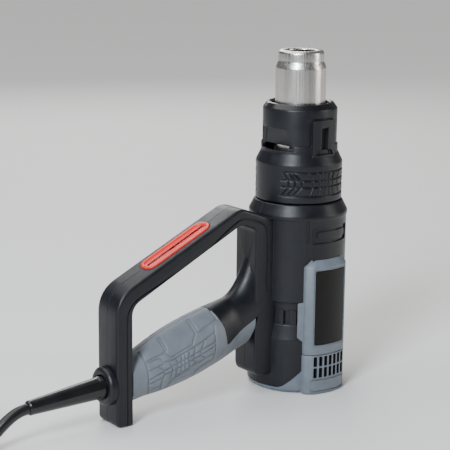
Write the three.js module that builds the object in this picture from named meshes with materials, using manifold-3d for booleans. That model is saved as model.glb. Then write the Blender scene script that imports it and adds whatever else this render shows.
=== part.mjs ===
// Hot air gun with a closed guard handle, standing on its rear cap with the nozzle up.
// Millimetres. +Z is the barrel axis, the origin is on that axis at the rear stand face,
// and the handle reaches out along -X. The two shell halves meet on the plane Y = 0.

import * as THREE from 'three';
import { mergeVertices } from 'three/addons/utils/BufferGeometryUtils.js';
import Module from 'manifold-3d';

const wasm = await Module();
wasm.setup();

// ---- driving dimensions ----------------------------------------------------------------

const gap = 0.3;                 // clearance between neighbouring pieces
const wall = 2.6;                // moulded shell wall
const bigRound = 40;             // facets round the barrel
const midRound = 24;             // facets round the nozzle, motor and fan
const smallRound = 10;           // facets round screws and wires

const barrelRadius = 36.6;       // main barrel, outside
const shoulderSwell = 0.6;       // slightly fuller at the shoulder
const skirtHeight = 4;           // lower edge of the black shell above the stand face
const skirtTop = 42.5;           // where the skirt starts to step in to the waist
const waistBottom = 53;          // waist recess, from here
const waistTop = 70;             // to here
const waistDepth = 3.2;
const shoulderHeight = 136;      // where the barrel turns into the nose cone
const shellTopHeight = 8;        // from the shoulder to the upper edge of the shells
const shellTopInset = 3.6;

const collarInset = 4.1;         // nose collar over the shell's upper edge
const collarLength = 29.5;       // its straight side
const collarConeHeight = 6.8;
const tongueLength = 25.7;       // lugs of the collar that hold the shroud
const tongueHalfWidth = 10.5;
const tongueSlotWidth = 6;
const shroudInset = 4.7;         // heat shield tube round the nozzle, inside the collar
const shroudWall = 2.4;
const shroudLength = 43.5;       // above the collar's straight side
const shroudMouthSpace = 2.4;    // open ring between nozzle and shield

const nozzleRadius = 18.8;       // stainless nozzle, rear part
const nozzleFrontRadius = 17;
const nozzleFrontLength = 10.5;  // from the middle of the step to the mouth
const nozzleLength = 38;         // above the shield
const nozzleMouthRadius = 10.8;
const nozzleWall = 1;

const padStandOut = 4.8;         // grey side pads, over the barrel
const padHalfWidth = 19.5;
const padCrownHalfWidth = 15.5;
const padRootDepth = 3.4;        // the pads' flat edges end this far inside the barrel's radius
const ventHeight = 31;           // parting line between rear cap and side frames
const frameTop = 104;
const labelBottom = 38.5;
const labelTop = 96;
const labelHalfWidth = 14;

const handleHalfWidth = 13;      // guard, leg and root, along Y
const handleEdge = 2.2;          // bevel of the guard's long edges
const rootDepth = 12.9;          // handle root, from the barrel to its finger side
const loopLength = 108.5;        // open length between the root and the leg
const legDepth = 13.5;
const gripHeight = 29.4;         // axis of the grip at the leg
const gripSlope = 15.9;          // degrees that the grip rises towards the barrel
const gripWidthRatio = 0.87;     // width across, over depth
const neckFrom = 74;             // from here the grip narrows to the width of the root
const neckTo = 100;
const sleeveThickness = 3.4;     // soft grey cover of the grip

const cordDiameter = 8;
const cordHeight = 29;           // centre of the cord where it leaves the leg
const bootRootRadius = 8.2;
const bootTipRadius = 5.4;
const bootLength = 64;
const bootEndHeight = 25.6;

const coilTurnRadius = 40;       // middle turn
const coilSpare = 0.2;           // between neighbouring turns
const coilFloor = 1.2;           // room for the tie under the coil

const motorRadius = 17.7;
const motorLength = 42;
const shaftRadius = 1.6;
const fanSpace = 7;              // open ring between fan and shell
const fanHeight = 19;

const switchTravel = 8;

// ---- places that follow from them --------------------------------------------------------

const waistRadius = barrelRadius - waistDepth;
const shoulderRadius = barrelRadius + shoulderSwell;
const shellTopRadius = barrelRadius - shellTopInset;
const shellTop = shoulderHeight + shellTopHeight;
const collarRadius = barrelRadius - collarInset;
const collarTop = shellTop + collarLength;
const collarConeTop = collarTop + collarConeHeight;
const tongueTop = collarConeTop + tongueLength;
const shroudRadius = collarRadius - shroudInset;
const shroudTop = collarTop + shroudLength;
const shroudMouthRadius = nozzleRadius + shroudMouthSpace;
const nozzleTop = shroudTop + nozzleLength;
const nozzleStep = nozzleTop - nozzleFrontLength;
const padRadius = barrelRadius + padStandOut;
const padRootRadius = barrelRadius - padRootDepth;
const rootInner = -barrelRadius - rootDepth;
const legInner = rootInner - loopLength;
const legOuter = legInner - legDepth;
const motorTop = waistTop;
const motorBottom = motorTop - motorLength;
const fanRadius = barrelRadius - wall - fanSpace;
const fanBottom = waistTop + 9;
const fanTop = fanBottom + fanHeight;
const heaterBottom = shellTop - 7;
const heaterTop = nozzleStep - 8.5;
const supportTop = nozzleTop - 3;

// ---- materials -------------------------------------------------------------------------

function finish(colour, roughness, metalness = 0) {
  return new THREE.MeshStandardMaterial({ color: colour, roughness, metalness });
}

const finishes = {
  blackPlastic: finish(0x2a2c33, 0.55),
  greyPlastic: finish(0x7d8791, 0.5),
  greyRubber: finish(0x7f8994, 0.62),
  redPlastic: finish(0xe0362a, 0.35),
  stainless: finish(0xc9c6c0, 0.28, 1),
  blackRubber: finish(0x0c0c0e, 0.25),
  cordSheath: finish(0x141416, 0.5),
  labelFoil: finish(0x1d1a19, 0.4),
  mica: finish(0xb59a72, 0.6),
  ceramic: finish(0xe6e0d2, 0.7),
  heatingWire: finish(0x6e6a66, 0.4, 1),
  steel: finish(0x9a9da1, 0.35, 1),
  zinc: finish(0xb9bcc0, 0.4, 1),
  whitePlastic: finish(0xd9d6cc, 0.5),
  circuitGreen: finish(0x1f6a3c, 0.5),
  brass: finish(0xc7a353, 0.35, 1),
  wireBlue: finish(0x2a5fa8, 0.5),
  wireBrown: finish(0x6b4226, 0.5),
};

// ---- shape helpers ---------------------------------------------------------------------

// A closed three.js geometry as a solid that can be joined and cut.
function solid(geometry) {
  const bare = geometry.clone();
  bare.deleteAttribute('normal');
  bare.deleteAttribute('uv');
  const welded = mergeVertices(bare, 1e-4);
  const index = welded.index.array;
  const triangles = [];
  for (let i = 0; i < index.length; i += 3) {
    const [a, b, c] = [index[i], index[i + 1], index[i + 2]];
    if (a !== b && b !== c && c !== a) triangles.push(a, b, c);
  }
  return new wasm.Manifold(new wasm.Mesh({
    numProp: 3,
    vertProperties: new Float32Array(welded.attributes.position.array),
    triVerts: new Uint32Array(triangles),
  }));
}

function toGeometry(manifold) {
  const mesh = manifold.getMesh();
  const geometry = new THREE.BufferGeometry();
  const positions = new Float32Array(mesh.numVert * 3);
  for (let i = 0; i < mesh.numVert; i++) {
    for (let k = 0; k < 3; k++) positions[3 * i + k] = mesh.vertProperties[mesh.numProp * i + k];
  }
  geometry.setAttribute('position', new THREE.BufferAttribute(positions, 3));
  geometry.setIndex(new THREE.BufferAttribute(new Uint32Array(mesh.triVerts), 1));
  geometry.computeVertexNormals();
  return geometry;
}

function join(...pieces) {
  return pieces.reduce((sum, piece) => sum.add(piece));
}

function cut(body, ...tools) {
  return tools.reduce((rest, tool) => rest.subtract(tool), body);
}

// A solid of revolution about +Z from [radius, height] points, anticlockwise in that plane.
function lathe(profile, segments = midRound) {
  const points = profile.map(([r, z]) => new THREE.Vector2(r, z));
  if (profile[0][0] > 0) points.push(points[0].clone());
  const geometry = new THREE.LatheGeometry(points, segments);
  geometry.rotateX(Math.PI / 2);
  return geometry;
}

function disc(radius, z0, z1, segments = midRound) {
  return lathe([[0, z0], [radius, z0], [radius, z1], [0, z1]], segments);
}

function ring(inner, outer, z0, z1, segments = midRound) {
  return lathe([[inner, z0], [outer, z0], [outer, z1], [inner, z1]], segments);
}

function block(x0, x1, y0, y1, z0, z1) {
  const geometry = new THREE.BoxGeometry(x1 - x0, y1 - y0, z1 - z0);
  geometry.translate((x0 + x1) / 2, (y0 + y1) / 2, (z0 + z1) / 2);
  return geometry;
}

// A closed outline through corners [x, y, radius]; corners with a radius are rounded.
function outline(corners) {
  const shape = new THREE.Shape();
  const count = corners.length;
  corners.forEach(([x, y, radius = 0], i) => {
    const corner = new THREE.Vector2(x, y);
    let start = corner;
    let end = corner;
    if (radius > 0) {
      const before = corners[(i + count - 1) % count];
      const after = corners[(i + 1) % count];
      const toBefore = new THREE.Vector2(before[0] - x, before[1] - y).normalize();
      const toAfter = new THREE.Vector2(after[0] - x, after[1] - y).normalize();
      const reach = radius / Math.tan(Math.acos(toBefore.dot(toAfter)) / 2);
      start = corner.clone().addScaledVector(toBefore, reach);
      end = corner.clone().addScaledVector(toAfter, reach);
    }
    if (i === 0) shape.moveTo(start.x, start.y);
    else shape.lineTo(start.x, start.y);
    if (radius > 0) shape.quadraticCurveTo(x, y, end.x, end.y);
  });
  shape.closePath();
  return shape;
}

// The same corners moved inwards (anticlockwise outlines) by a distance.
function inset(corners, distance) {
  const count = corners.length;
  return corners.map(([x, y, radius = 0], i) => {
    const before = corners[(i + count - 1) % count];
    const after = corners[(i + 1) % count];
    const a = new THREE.Vector2(x - before[0], y - before[1]).normalize();
    const b = new THREE.Vector2(after[0] - x, after[1] - y).normalize();
    const normalA = new THREE.Vector2(-a.y, a.x);
    const normalB = new THREE.Vector2(-b.y, b.x);
    const shift = normalA.clone().add(normalB).multiplyScalar(distance / (1 + normalA.dot(normalB)));
    return [x + shift.x, y + shift.y, radius];
  });
}

// An outline in the XZ plane, pushed through from y0 to y1.
function acrossY(shape, y0, y1, bevel = 0, curveSegments = 3) {
  const geometry = new THREE.ExtrudeGeometry(shape, {
    depth: y1 - y0 - 2 * bevel,
    bevelEnabled: bevel > 0,
    bevelSize: bevel,
    bevelThickness: bevel,
    bevelOffset: -bevel,
    bevelSegments: 1,
    curveSegments,
  });
  geometry.translate(0, 0, bevel);
  geometry.rotateX(Math.PI / 2);
  geometry.translate(0, y1, 0);
  return geometry;
}

// An outline in the XY plane, pushed up from z0 to z1.
function upZ(shape, z0, z1, curveSegments = 4) {
  const geometry = new THREE.ExtrudeGeometry(shape, { depth: z1 - z0, bevelEnabled: false, curveSegments });
  geometry.translate(0, 0, z0);
  return geometry;
}

// A round tube along a smooth curve through points.
function tube(points, radius, sides, steps) {
  const curve = new THREE.CatmullRomCurve3(points, false, 'centripetal');
  const section = new THREE.Shape();
  for (let i = 0; i < sides; i++) {
    const angle = (2 * Math.PI * i) / sides;
    const [x, y] = [radius * Math.cos(angle), radius * Math.sin(angle)];
    if (i === 0) section.moveTo(x, y);
    else section.lineTo(x, y);
  }
  section.closePath();
  return new THREE.ExtrudeGeometry(section, { steps, extrudePath: curve, bevelEnabled: false });
}

const vec = (x, y, z) => new THREE.Vector3(x, y, z);

// ---- the assembly ----------------------------------------------------------------------

const gun = new THREE.Group();

function addPiece(name, geometry, material, parent = gun) {
  const mesh = new THREE.Mesh(geometry, material);
  mesh.name = name;
  parent.add(mesh);
  return mesh;
}

// ---- grip frame: local Z runs along the grip, local X points down, local Y is across ----

const gripTurn = THREE.MathUtils.degToRad(90 - gripSlope);
const gripFrame = new THREE.Matrix4().makeRotationY(gripTurn).setPosition(legInner + 0.5, 0, gripHeight);

// Depth radius of the grip's surface along its axis.
const gripProfile = [
  [15.4, 0], [16.4, 9], [18.5, 19], [20.3, 31], [21.5, 43], [22, 56], [21.8, 69], [21.3, 83], [20.8, 97],
  [20.8, 114],
];

// The grip's outer surface moved in by an amount, from one length to another.
function gripBody(amount, from, to, segments = midRound) {
  const inside = gripProfile.filter(([, s]) => s > from && s < to);
  const radiusAt = (s) => {
    const last = gripProfile.length - 1;
    const i = Math.max(1, gripProfile.findIndex((p, k) => k === last || p[1] >= s));
    const [r0, s0] = gripProfile[i - 1];
    const [r1, s1] = gripProfile[i];
    return r0 + ((r1 - r0) * (THREE.MathUtils.clamp(s, s0, s1) - s0)) / (s1 - s0);
  };
  const rows = [[radiusAt(from), from], ...inside, [radiusAt(to), to]];
  const geometry = lathe([[0, from], ...rows.map(([r, s]) => [r - amount, s]), [0, to]], segments);
  const middle = 21;
  const places = geometry.attributes.position;
  for (let i = 0; i < places.count; i++) {
    const share = THREE.MathUtils.smoothstep(places.getZ(i), neckFrom, neckTo);
    const halfWidth = THREE.MathUtils.lerp(middle * gripWidthRatio, handleHalfWidth + 0.4, share);
    places.setY(i, (places.getY(i) * (halfWidth - amount)) / (middle - amount));
  }
  return geometry;
}

const inGrip = (geometry) => geometry.clone().applyMatrix4(gripFrame);

// ---- handle outlines in the XZ plane ----------------------------------------------------

const rootReach = -barrelRadius + 11.6; // the handle root runs into the barrel wall up to here
const rootFoot = 13.5;           // lower end of the handle root
const apexX = rootInner - 14.5;  // highest corner of the guard
const apexHeight = shoulderHeight + 9.2;
const shoulderOfLeg = 95;        // outer corner where the leg turns into the sloping guard

const guardCorners = [
  [legInner, 0], [legInner, shoulderOfLeg - 8.5, 12], [apexX + 1, shoulderHeight - 3.5, 9],
  [rootInner, shoulderHeight - 8.5, 5], [rootInner, rootFoot, 8], [rootReach, rootFoot],
  [rootReach, shoulderHeight - 6], [apexX, apexHeight, 16], [legOuter, shoulderOfLeg, 24], [legOuter, 0, 5],
];

// Black neck of the grip; the grey sleeve covers the rest and the web below the neck.
function neckCorners(spare) {
  const line = [[50.5, 92], [44, 80], [36.5, 71], [31.5, 59.5]];
  return [
    ...line.map(([back, z]) => [rootInner - back - spare, z]),
    [rootInner - 29.5 - spare, 47 - spare], [rootInner - 27.5 - spare, 46.4 - spare],
    [rootInner + 2.2, 61.4 - spare], [rootReach, 61.4 - spare], [rootReach, 92],
  ];
}

// Everything of the grip that is grey lies between the leg and this line.
function webCorners(spare) {
  const line = [[7.5, 34], [2.5, 44], [-2.2, 61], [-2.2, 100]];
  return [
    [legInner + spare, 0], [rootInner - 20.5, 0], ...line.map(([back, z]) => [rootInner - back - spare, z]),
    [legInner + spare, 100],
  ];
}

const beyond = 60;               // long enough to pass through the whole gun across Y

const neckZone = solid(acrossY(outline(neckCorners(0)), -beyond, beyond));
const neckZoneGrown = solid(acrossY(outline(neckCorners(gap)), -beyond, beyond));
const webZone = solid(acrossY(outline(webCorners(gap)), -beyond, beyond));
const webZoneGrown = solid(acrossY(outline(webCorners(0)), -beyond, beyond));

// ---- the cap's share of the barrel's lower end -------------------------------------------

const capSideReach = barrelRadius - 5.6; // where the slanted parting line reaches the skirt's edge
const capSideTop = 18;           // where it reaches the pad's edge

function capCorners(spare) {
  return [
    [-beyond, -1], [beyond, -1], [beyond, skirtHeight - spare], [capSideReach, skirtHeight - spare],
    [padHalfWidth - spare, capSideTop - spare], [padHalfWidth - spare, ventHeight - spare],
    [-padHalfWidth + spare, ventHeight - spare], [-padHalfWidth + spare, capSideTop - spare],
    [-capSideReach, skirtHeight - spare], [-beyond, skirtHeight - spare],
  ];
}

const capZoneForShell = solid(acrossY(outline(capCorners(0)), -beyond, beyond));
const capZoneForCap = solid(acrossY(outline(capCorners(gap)), -beyond, beyond));

// ---- barrel profiles ----------------------------------------------------------------------

const barrelOutside = [
  [0, skirtHeight], [barrelRadius - 0.8, skirtHeight], [barrelRadius, skirtHeight + 1.5],
  [barrelRadius, skirtTop], [waistRadius + 1, waistBottom], [waistRadius, waistBottom],
  [waistRadius, waistTop], [barrelRadius, waistTop + 0.6], [barrelRadius, shoulderHeight - 3],
  [shoulderRadius, shoulderHeight - 2.6], [shoulderRadius, shoulderHeight],
  [shellTopRadius, shellTop], [0, shellTop],
];

const boreRadius = barrelRadius - wall;
const waistBore = waistRadius - wall;
const spigotRadius = collarRadius - 3.3; // collar spigot that the shells close on
const barrelBore = [
  [0, -1], [boreRadius, -1], [boreRadius, skirtTop - 1], [waistBore, waistBottom - 3],
  [waistBore, waistTop + 2.5], [boreRadius, waistTop + 3.1], [boreRadius, shoulderHeight - 3],
  [spigotRadius + gap, shellTop - 4], [spigotRadius + gap, shellTop + 1], [0, shellTop + 1],
];

// ---- switch: a slider in the grip's underside ----------------------------------------------

const slider = { at: 70, length: 14, width: 9, top: 21.8, thickness: 2.8, stem: 3 };
const sliderWindow = solid(inGrip(block(
  slider.top - slider.thickness - 1, 40, -slider.width / 2 - 0.6, slider.width / 2 + 0.6,
  slider.at - slider.length / 2 - 0.6, slider.at + slider.length / 2 + switchTravel + 0.6,
)));
const stemSlot = solid(inGrip(block(
  12, 40, -slider.stem / 2 - 0.6, slider.stem / 2 + 0.6,
  slider.at - slider.stem / 2 - 0.6, slider.at + slider.stem / 2 + switchTravel + 0.6,
)));

// ---- shell screws: [name, x, z] on the right half, heads facing +Y -------------------------

const screwRadius = 1.4;
const screwHeadRadius = 3;
const screwHeadHeight = 1.8;
const bossRadius = 3.1;
const legMiddle = (legOuter + legInner) / 2;
const rootMiddle = rootInner + rootDepth / 2;
const barrelScrewX = barrelRadius - 6.6;
const barrelScrewSide = Math.sqrt(barrelRadius ** 2 - barrelScrewX ** 2) - 1;
const shellScrews = [
  ['leg_foot', legMiddle, 9, handleHalfWidth],
  ['leg_middle', legMiddle, 64, handleHalfWidth],
  ['guard_corner', legInner + 10, shoulderOfLeg + 3.3, handleHalfWidth],
  ['guard_apex', apexX + 1, apexHeight - 6.9, handleHalfWidth],
  ['root_top', rootMiddle, shoulderHeight - 32, handleHalfWidth],
  ['root_foot', rootMiddle, rootFoot + 10.5, handleHalfWidth],
  ['neck', rootInner - 16.5, 57, handleHalfWidth + 1.8],
  ['barrel_front', barrelScrewX, shoulderHeight - 4.6, barrelScrewSide],
  ['barrel_rear', barrelScrewX, 36, barrelScrewSide],
];
const headDepth = 1.8;           // the heads sit flush with the handle's side

function alongY(geometry, x, z) {
  const turned = geometry.clone();
  turned.rotateX(-Math.PI / 2);
  turned.translate(x, 0, z);
  return turned;
}

// ---- shells -----------------------------------------------------------------------------

const gripEnd = 113;
const inlay = { length: 60.7, width: 16, thickness: 3, proud: 0.8 };
const guardSlope = Math.atan2(apexHeight - shoulderOfLeg, apexX - legOuter);
const inlayMiddle = (legOuter + apexX) / 2 + 4.25;
const inlayFrame = new THREE.Matrix4().makeRotationY(-guardSlope).setPosition(
  inlayMiddle, 0, shoulderOfLeg + (inlayMiddle - legOuter) * Math.tan(guardSlope),
);

function stadium(length, width, z0, z1) {
  const corner = width / 2 - 0.01;
  const [a, b] = [length / 2, width / 2];
  return upZ(outline([[-a, -b, corner], [a, -b, corner], [a, b, corner], [-a, b, corner]]), z0, z1, 4);
}

function buildShells() {
  const guard = solid(acrossY(outline(guardCorners), -handleHalfWidth, handleHalfWidth, handleEdge));
  const sleeveSpace = solid(inGrip(gripBody(-gap, -5, gripEnd + 8))).intersect(webZoneGrown).subtract(neckZone);
  const neck = solid(inGrip(gripBody(0, 40, gripEnd))).intersect(neckZone);
  const core = solid(inGrip(gripBody(sleeveThickness, -8, gripEnd)));
  const barrel = solid(lathe(barrelOutside, bigRound));
  const outside = join(cut(guard, sleeveSpace), neck, core, barrel);

  const guardHollow = solid(acrossY(
    outline(inset(guardCorners, wall)), -handleHalfWidth + wall, handleHalfWidth - wall,
  ));
  const coreHollow = solid(inGrip(gripBody(sleeveThickness + wall, -6, gripEnd + 20)));
  const bore = solid(lathe(barrelBore, bigRound));
  const cordHole = solid(new THREE.CylinderGeometry(cordDiameter / 2 + gap, cordDiameter / 2 + gap, 12, midRound)
    .rotateZ(Math.PI / 2).translate(legOuter, 0, cordHeight));
  const inlayPocket = solid(stadium(
    inlay.length + 2 * gap, inlay.width + 2 * gap, inlay.proud - inlay.thickness - gap, 5,
  ).applyMatrix4(inlayFrame));

  // The inlay's pocket keeps a floor of its own above the guard's hollow.
  const pocketFloor = solid(stadium(
    inlay.length + 6, inlay.width + 4, inlay.proud - inlay.thickness - gap - 1.8, -0.5,
  ).applyMatrix4(inlayFrame)).intersect(guard);

  // Screw bosses stand in the hollows; each is drilled for its screw.
  const boundary = join(guard, barrel, neck, core);
  let bosses = null;
  for (const [, x, z] of shellScrews) {
    const boss = solid(alongY(disc(bossRadius, -40, 40, smallRound), x, z)).intersect(boundary);
    bosses = bosses ? bosses.add(boss) : boss;
  }
  const hollow = cut(join(guardHollow, coreHollow, bore), pocketFloor);
  let body = cut(outside, hollow);
  body = join(body, bosses.subtract(sleeveSpace));
  body = cut(body, cordHole, inlayPocket, stemSlot, capZoneForShell);
  for (const [, x, z, side] of shellScrews) {
    const seat = side - headDepth;
    const shank = solid(alongY(disc(screwRadius + gap, seat - 17 - gap, seat + 1, smallRound), x, z));
    const head = solid(alongY(disc(screwHeadRadius + gap, seat, beyond, smallRound), x, z));
    body = cut(body, shank, head);
  }
  const leftSide = solid(block(-200, 60, -beyond, -gap / 2, -5, 200));
  const rightSide = solid(block(-200, 60, gap / 2, beyond, -5, 200));
  return { left: body.intersect(leftSide), right: body.intersect(rightSide) };
}

const shells = buildShells();
const shellFinish = finishes.blackPlastic;
addPiece('shell_left', toGeometry(shells.left), shellFinish);
addPiece('shell_right', toGeometry(shells.right), shellFinish);

for (const [name, x, z, side] of shellScrews) {
  const seat = side - headDepth + gap;
  const screw = lathe([
    [0, seat - 16], [screwRadius, seat - 14.5], [screwRadius, seat], [screwHeadRadius, seat],
    [screwHeadRadius, seat + screwHeadHeight * 0.6], [screwHeadRadius * 0.7, seat + screwHeadHeight],
    [0, seat + screwHeadHeight],
  ], smallRound);
  addPiece(`screw_${name}`, alongY(screw, x, z), finishes.zinc);
}

// ---- grip sleeve, in two halves moulded onto the shells -----------------------------------

const sleeve = cut(
  solid(inGrip(gripBody(0, -5, gripEnd + 8))).intersect(webZone),
  solid(inGrip(gripBody(sleeveThickness - gap, -10, gripEnd + 20))), neckZoneGrown, sliderWindow,
  solid(block(rootInner - gap, 0, -handleHalfWidth - gap, handleHalfWidth + gap, 0, 120)),
);
for (const [side, sign] of [['left', -1], ['right', 1]]) {
  const half = solid(sign < 0 ? block(-200, 0, -beyond, -gap / 2, -5, 200) : block(-200, 0, gap / 2, beyond, -5, 200));
  addPiece(`grip_sleeve_${side}`, toGeometry(sleeve.intersect(half)), finishes.greyRubber);
}

// ---- red inlay on the guard -----------------------------------------------------------------

const inlayRim = 2.6;
const inlayBody = solid(stadium(inlay.length, inlay.width, inlay.proud - inlay.thickness, inlay.proud))
  .subtract(solid(stadium(inlay.length - 2 * inlayRim, inlay.width - 2 * inlayRim, 0, 5)));
const inlayPiece = addPiece('guard_inlay', toGeometry(inlayBody), finishes.redPlastic);
inlayPiece.applyMatrix4(inlayFrame);

// ---- switch ---------------------------------------------------------------------------------

const switchGroup = new THREE.Group();
switchGroup.applyMatrix4(gripFrame);
gun.add(switchGroup);
const sliderBody = join(
  solid(block(
    slider.top - slider.thickness, slider.top, -slider.width / 2, slider.width / 2,
    slider.at - slider.length / 2, slider.at + slider.length / 2,
  )),
  solid(block(
    11.5, slider.top - 1, -slider.stem / 2, slider.stem / 2,
    slider.at - slider.stem / 2, slider.at + slider.stem / 2,
  )),
);
addPiece('switch_slider', toGeometry(sliderBody), finishes.blackPlastic, switchGroup);
const switchPocket = solid(block(
  10.5, 20, -slider.stem / 2 - 0.6, slider.stem / 2 + 0.6,
  slider.at - slider.stem / 2 - 0.6, slider.at + slider.stem / 2 + switchTravel + 0.6,
));
const switchMiddle = slider.at + switchTravel / 2;
addPiece('switch_body', toGeometry(
  solid(block(2, 12, -4.6, 4.6, switchMiddle - 13, switchMiddle + 9)).subtract(switchPocket),
), finishes.whitePlastic, switchGroup);

// ---- grey pads on both sides: section in the XY plane on the -Y side -------------------------

function padOutline(outerRadius, halfWidth, crownHalfWidth) {
  const shape = new THREE.Shape();
  shape.moveTo(-halfWidth, -20);
  shape.lineTo(-halfWidth, -padRootRadius);
  const crown = Math.acos(crownHalfWidth / outerRadius);
  shape.lineTo(-crownHalfWidth, -outerRadius * Math.sin(crown));
  shape.absarc(0, 0, outerRadius, Math.PI + crown, 2 * Math.PI - crown, false);
  shape.lineTo(halfWidth, -padRootRadius);
  shape.lineTo(halfWidth, -20);
  shape.closePath();
  return shape;
}

const sides = [['left', 0], ['right', Math.PI]];
const tabHalfWidth = 22.8;
const tabBottom = 44;
const tabTop = 70.7;
const labelThickness = 0.8;

function sideFrame() {
  const pad = solid(upZ(padOutline(padRadius, padHalfWidth, padCrownHalfWidth), ventHeight, frameTop, 10));
  const tab = solid(acrossY(outline([
    [-padHalfWidth, tabBottom - 3], [-tabHalfWidth, tabBottom], [-tabHalfWidth, tabTop],
    [-padHalfWidth, tabTop + 1], [padHalfWidth, tabTop + 1], [tabHalfWidth, tabTop],
    [tabHalfWidth, tabBottom], [padHalfWidth, tabBottom - 3],
  ]), -beyond, 0)).intersect(solid(disc(barrelRadius + 0.6, tabBottom - 5, tabTop + 5, bigRound)));
  const topBevel = solid(new THREE.BoxGeometry(60, 14, 14).rotateX(-Math.PI / 5)
    .translate(0, -padRadius - 5.2, frameTop + 4));
  const labelSeat = solid(block(-labelHalfWidth, labelHalfWidth, -beyond, -20, labelBottom, labelTop))
    .subtract(solid(disc(padRadius - labelThickness - 0.4, 0, 120, bigRound)));
  return cut(join(pad, tab), topBevel, labelSeat, solid(disc(barrelRadius + gap, 0, 120, bigRound)));
}

function labelPlate() {
  const margin = gap;
  return solid(block(
    -labelHalfWidth + margin, labelHalfWidth - margin, -beyond, -20, labelBottom + margin, labelTop - margin,
  )).intersect(solid(ring(
    padRadius - labelThickness - 0.4 + gap, padRadius - 0.4, labelBottom, labelTop, bigRound,
  )));
}

for (const [side, turn] of sides) {
  const frame = addPiece(`side_frame_${side}`, toGeometry(sideFrame()), finishes.greyPlastic);
  const label = addPiece(`label_plate_${side}`, toGeometry(labelPlate()), finishes.labelFoil);
  frame.rotation.z = turn;
  label.rotation.z = turn;
}

// ---- rear cap with the stand face and the vent panels -----------------------------------------

const capRim = barrelRadius - 1.4; // edge of the stand face
const capFloor = 3.2;
const spigotWall = 2.2;
const vents = { columns: 7, pitch: 4.3, width: 2.3, rows: [[13.4, 20.8], [22.8, 29.6]] };

function rearCap() {
  const floor = solid(disc(capRim, 0, capFloor, bigRound));
  const spigot = solid(ring(boreRadius - gap - spigotWall, boreRadius - gap, 1, 12, bigRound));
  const sector = solid(ring(boreRadius - gap - 1, barrelRadius, 0, ventHeight - gap, bigRound))
    .intersect(capZoneForCap);
  const pad = solid(upZ(padOutline(padRadius, padHalfWidth - gap, padCrownHalfWidth), 0, ventHeight - gap, 10));
  const pads = join(pad, pad.rotate([0, 0, 180]))
    .subtract(solid(disc(boreRadius - gap - 0.6, capFloor, 60, bigRound)));
  let cap = join(floor, spigot, sector, pads);
  for (let column = 0; column < vents.columns; column++) {
    const x = (column - (vents.columns - 1) / 2) * vents.pitch;
    for (const [z0, z1] of vents.rows) {
      cap = cap.subtract(solid(block(x - vents.width / 2, x + vents.width / 2, -beyond, beyond, z0, z1)));
    }
  }
  return cap;
}

addPiece('rear_cap', toGeometry(rearCap()), finishes.greyPlastic);

// ---- nose: collar, shroud and nozzle -------------------------------------------------------------

const collarBottom = shellTop + 0.8;
const collarBore = shroudRadius + gap;
const collarLip = nozzleRadius + 3.2; // inner lips that hold the nozzle's flange
const shroudFoot = shellTop + 6;

function noseCollar() {
  const body = solid(lathe([
    [collarLip, shellTop - 6], [spigotRadius, shellTop - 6], [spigotRadius, collarBottom],
    [collarRadius, collarBottom], [collarRadius, collarTop], [collarBore + 0.8, collarConeTop],
    [collarBore, collarConeTop], [collarBore, shroudFoot - gap], [collarLip, shroudFoot - gap],
  ], bigRound));
  const lug = solid(ring(collarBore, collarBore + 1.9, collarTop, tongueTop, bigRound))
    .intersect(solid(acrossY(outline([
      [-tongueHalfWidth, collarTop - 1], [tongueHalfWidth, collarTop - 1],
      [tongueHalfWidth, tongueTop, 2], [-tongueHalfWidth, tongueTop, 2],
    ]), -beyond, beyond)));
  const slot = solid(block(
    -tongueSlotWidth / 2, tongueSlotWidth / 2, -beyond, beyond, collarConeTop + 3, tongueTop - 6,
  ));
  return cut(join(body, lug), slot);
}

addPiece('nose_collar', toGeometry(noseCollar()), finishes.blackPlastic);

const scoopBottom = collarConeTop + 2.7;
const scoopTop = scoopBottom + 5.5;
const scoopHalfWidth = 14;

function heatShroud() {
  const inner = shroudRadius - shroudWall;
  const body = solid(lathe([
    [inner, shroudFoot], [shroudRadius, shroudFoot], [shroudRadius, shroudTop - 4],
    [shroudRadius - 3.2, shroudTop], [shroudMouthRadius, shroudTop],
    [shroudMouthRadius, shroudTop - 2.5], [inner, shroudTop - 5.5],
  ], bigRound));
  return body.subtract(solid(block(-beyond, beyond, -scoopHalfWidth, scoopHalfWidth, scoopBottom, scoopTop)));
}

addPiece('heat_shroud', toGeometry(heatShroud()), finishes.blackPlastic);

const nozzleFoot = shellTop - 7.6;
const flangeRadius = spigotRadius - 4.2;
addPiece('nozzle_tube', lathe([
  [nozzleRadius - nozzleWall, nozzleFoot], [flangeRadius, nozzleFoot], [flangeRadius, nozzleFoot + 1.2],
  [nozzleRadius, nozzleFoot + 1.2], [nozzleRadius, nozzleStep - 2], [nozzleFrontRadius, nozzleStep + 2],
  [nozzleFrontRadius, nozzleTop - 2], [nozzleFrontRadius - 0.9, nozzleTop - 0.4],
  [nozzleFrontRadius - 2.6, nozzleTop], [nozzleMouthRadius, nozzleTop],
  [nozzleMouthRadius, nozzleTop - nozzleWall], [nozzleFrontRadius - 2.8, nozzleTop - nozzleWall],
  [nozzleFrontRadius - nozzleWall, nozzleTop - 2.6], [nozzleFrontRadius - nozzleWall, nozzleStep + 2],
  [nozzleRadius - nozzleWall, nozzleStep - 2],
], 32), finishes.stainless);

// ---- heater ---------------------------------------------------------------------------------------

const sleeveOuter = nozzleRadius - nozzleWall - gap;
const sleeveInner = sleeveOuter - 0.6;
addPiece('mica_sleeve', ring(sleeveInner, sleeveOuter, heaterBottom, heaterTop), finishes.mica);

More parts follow.
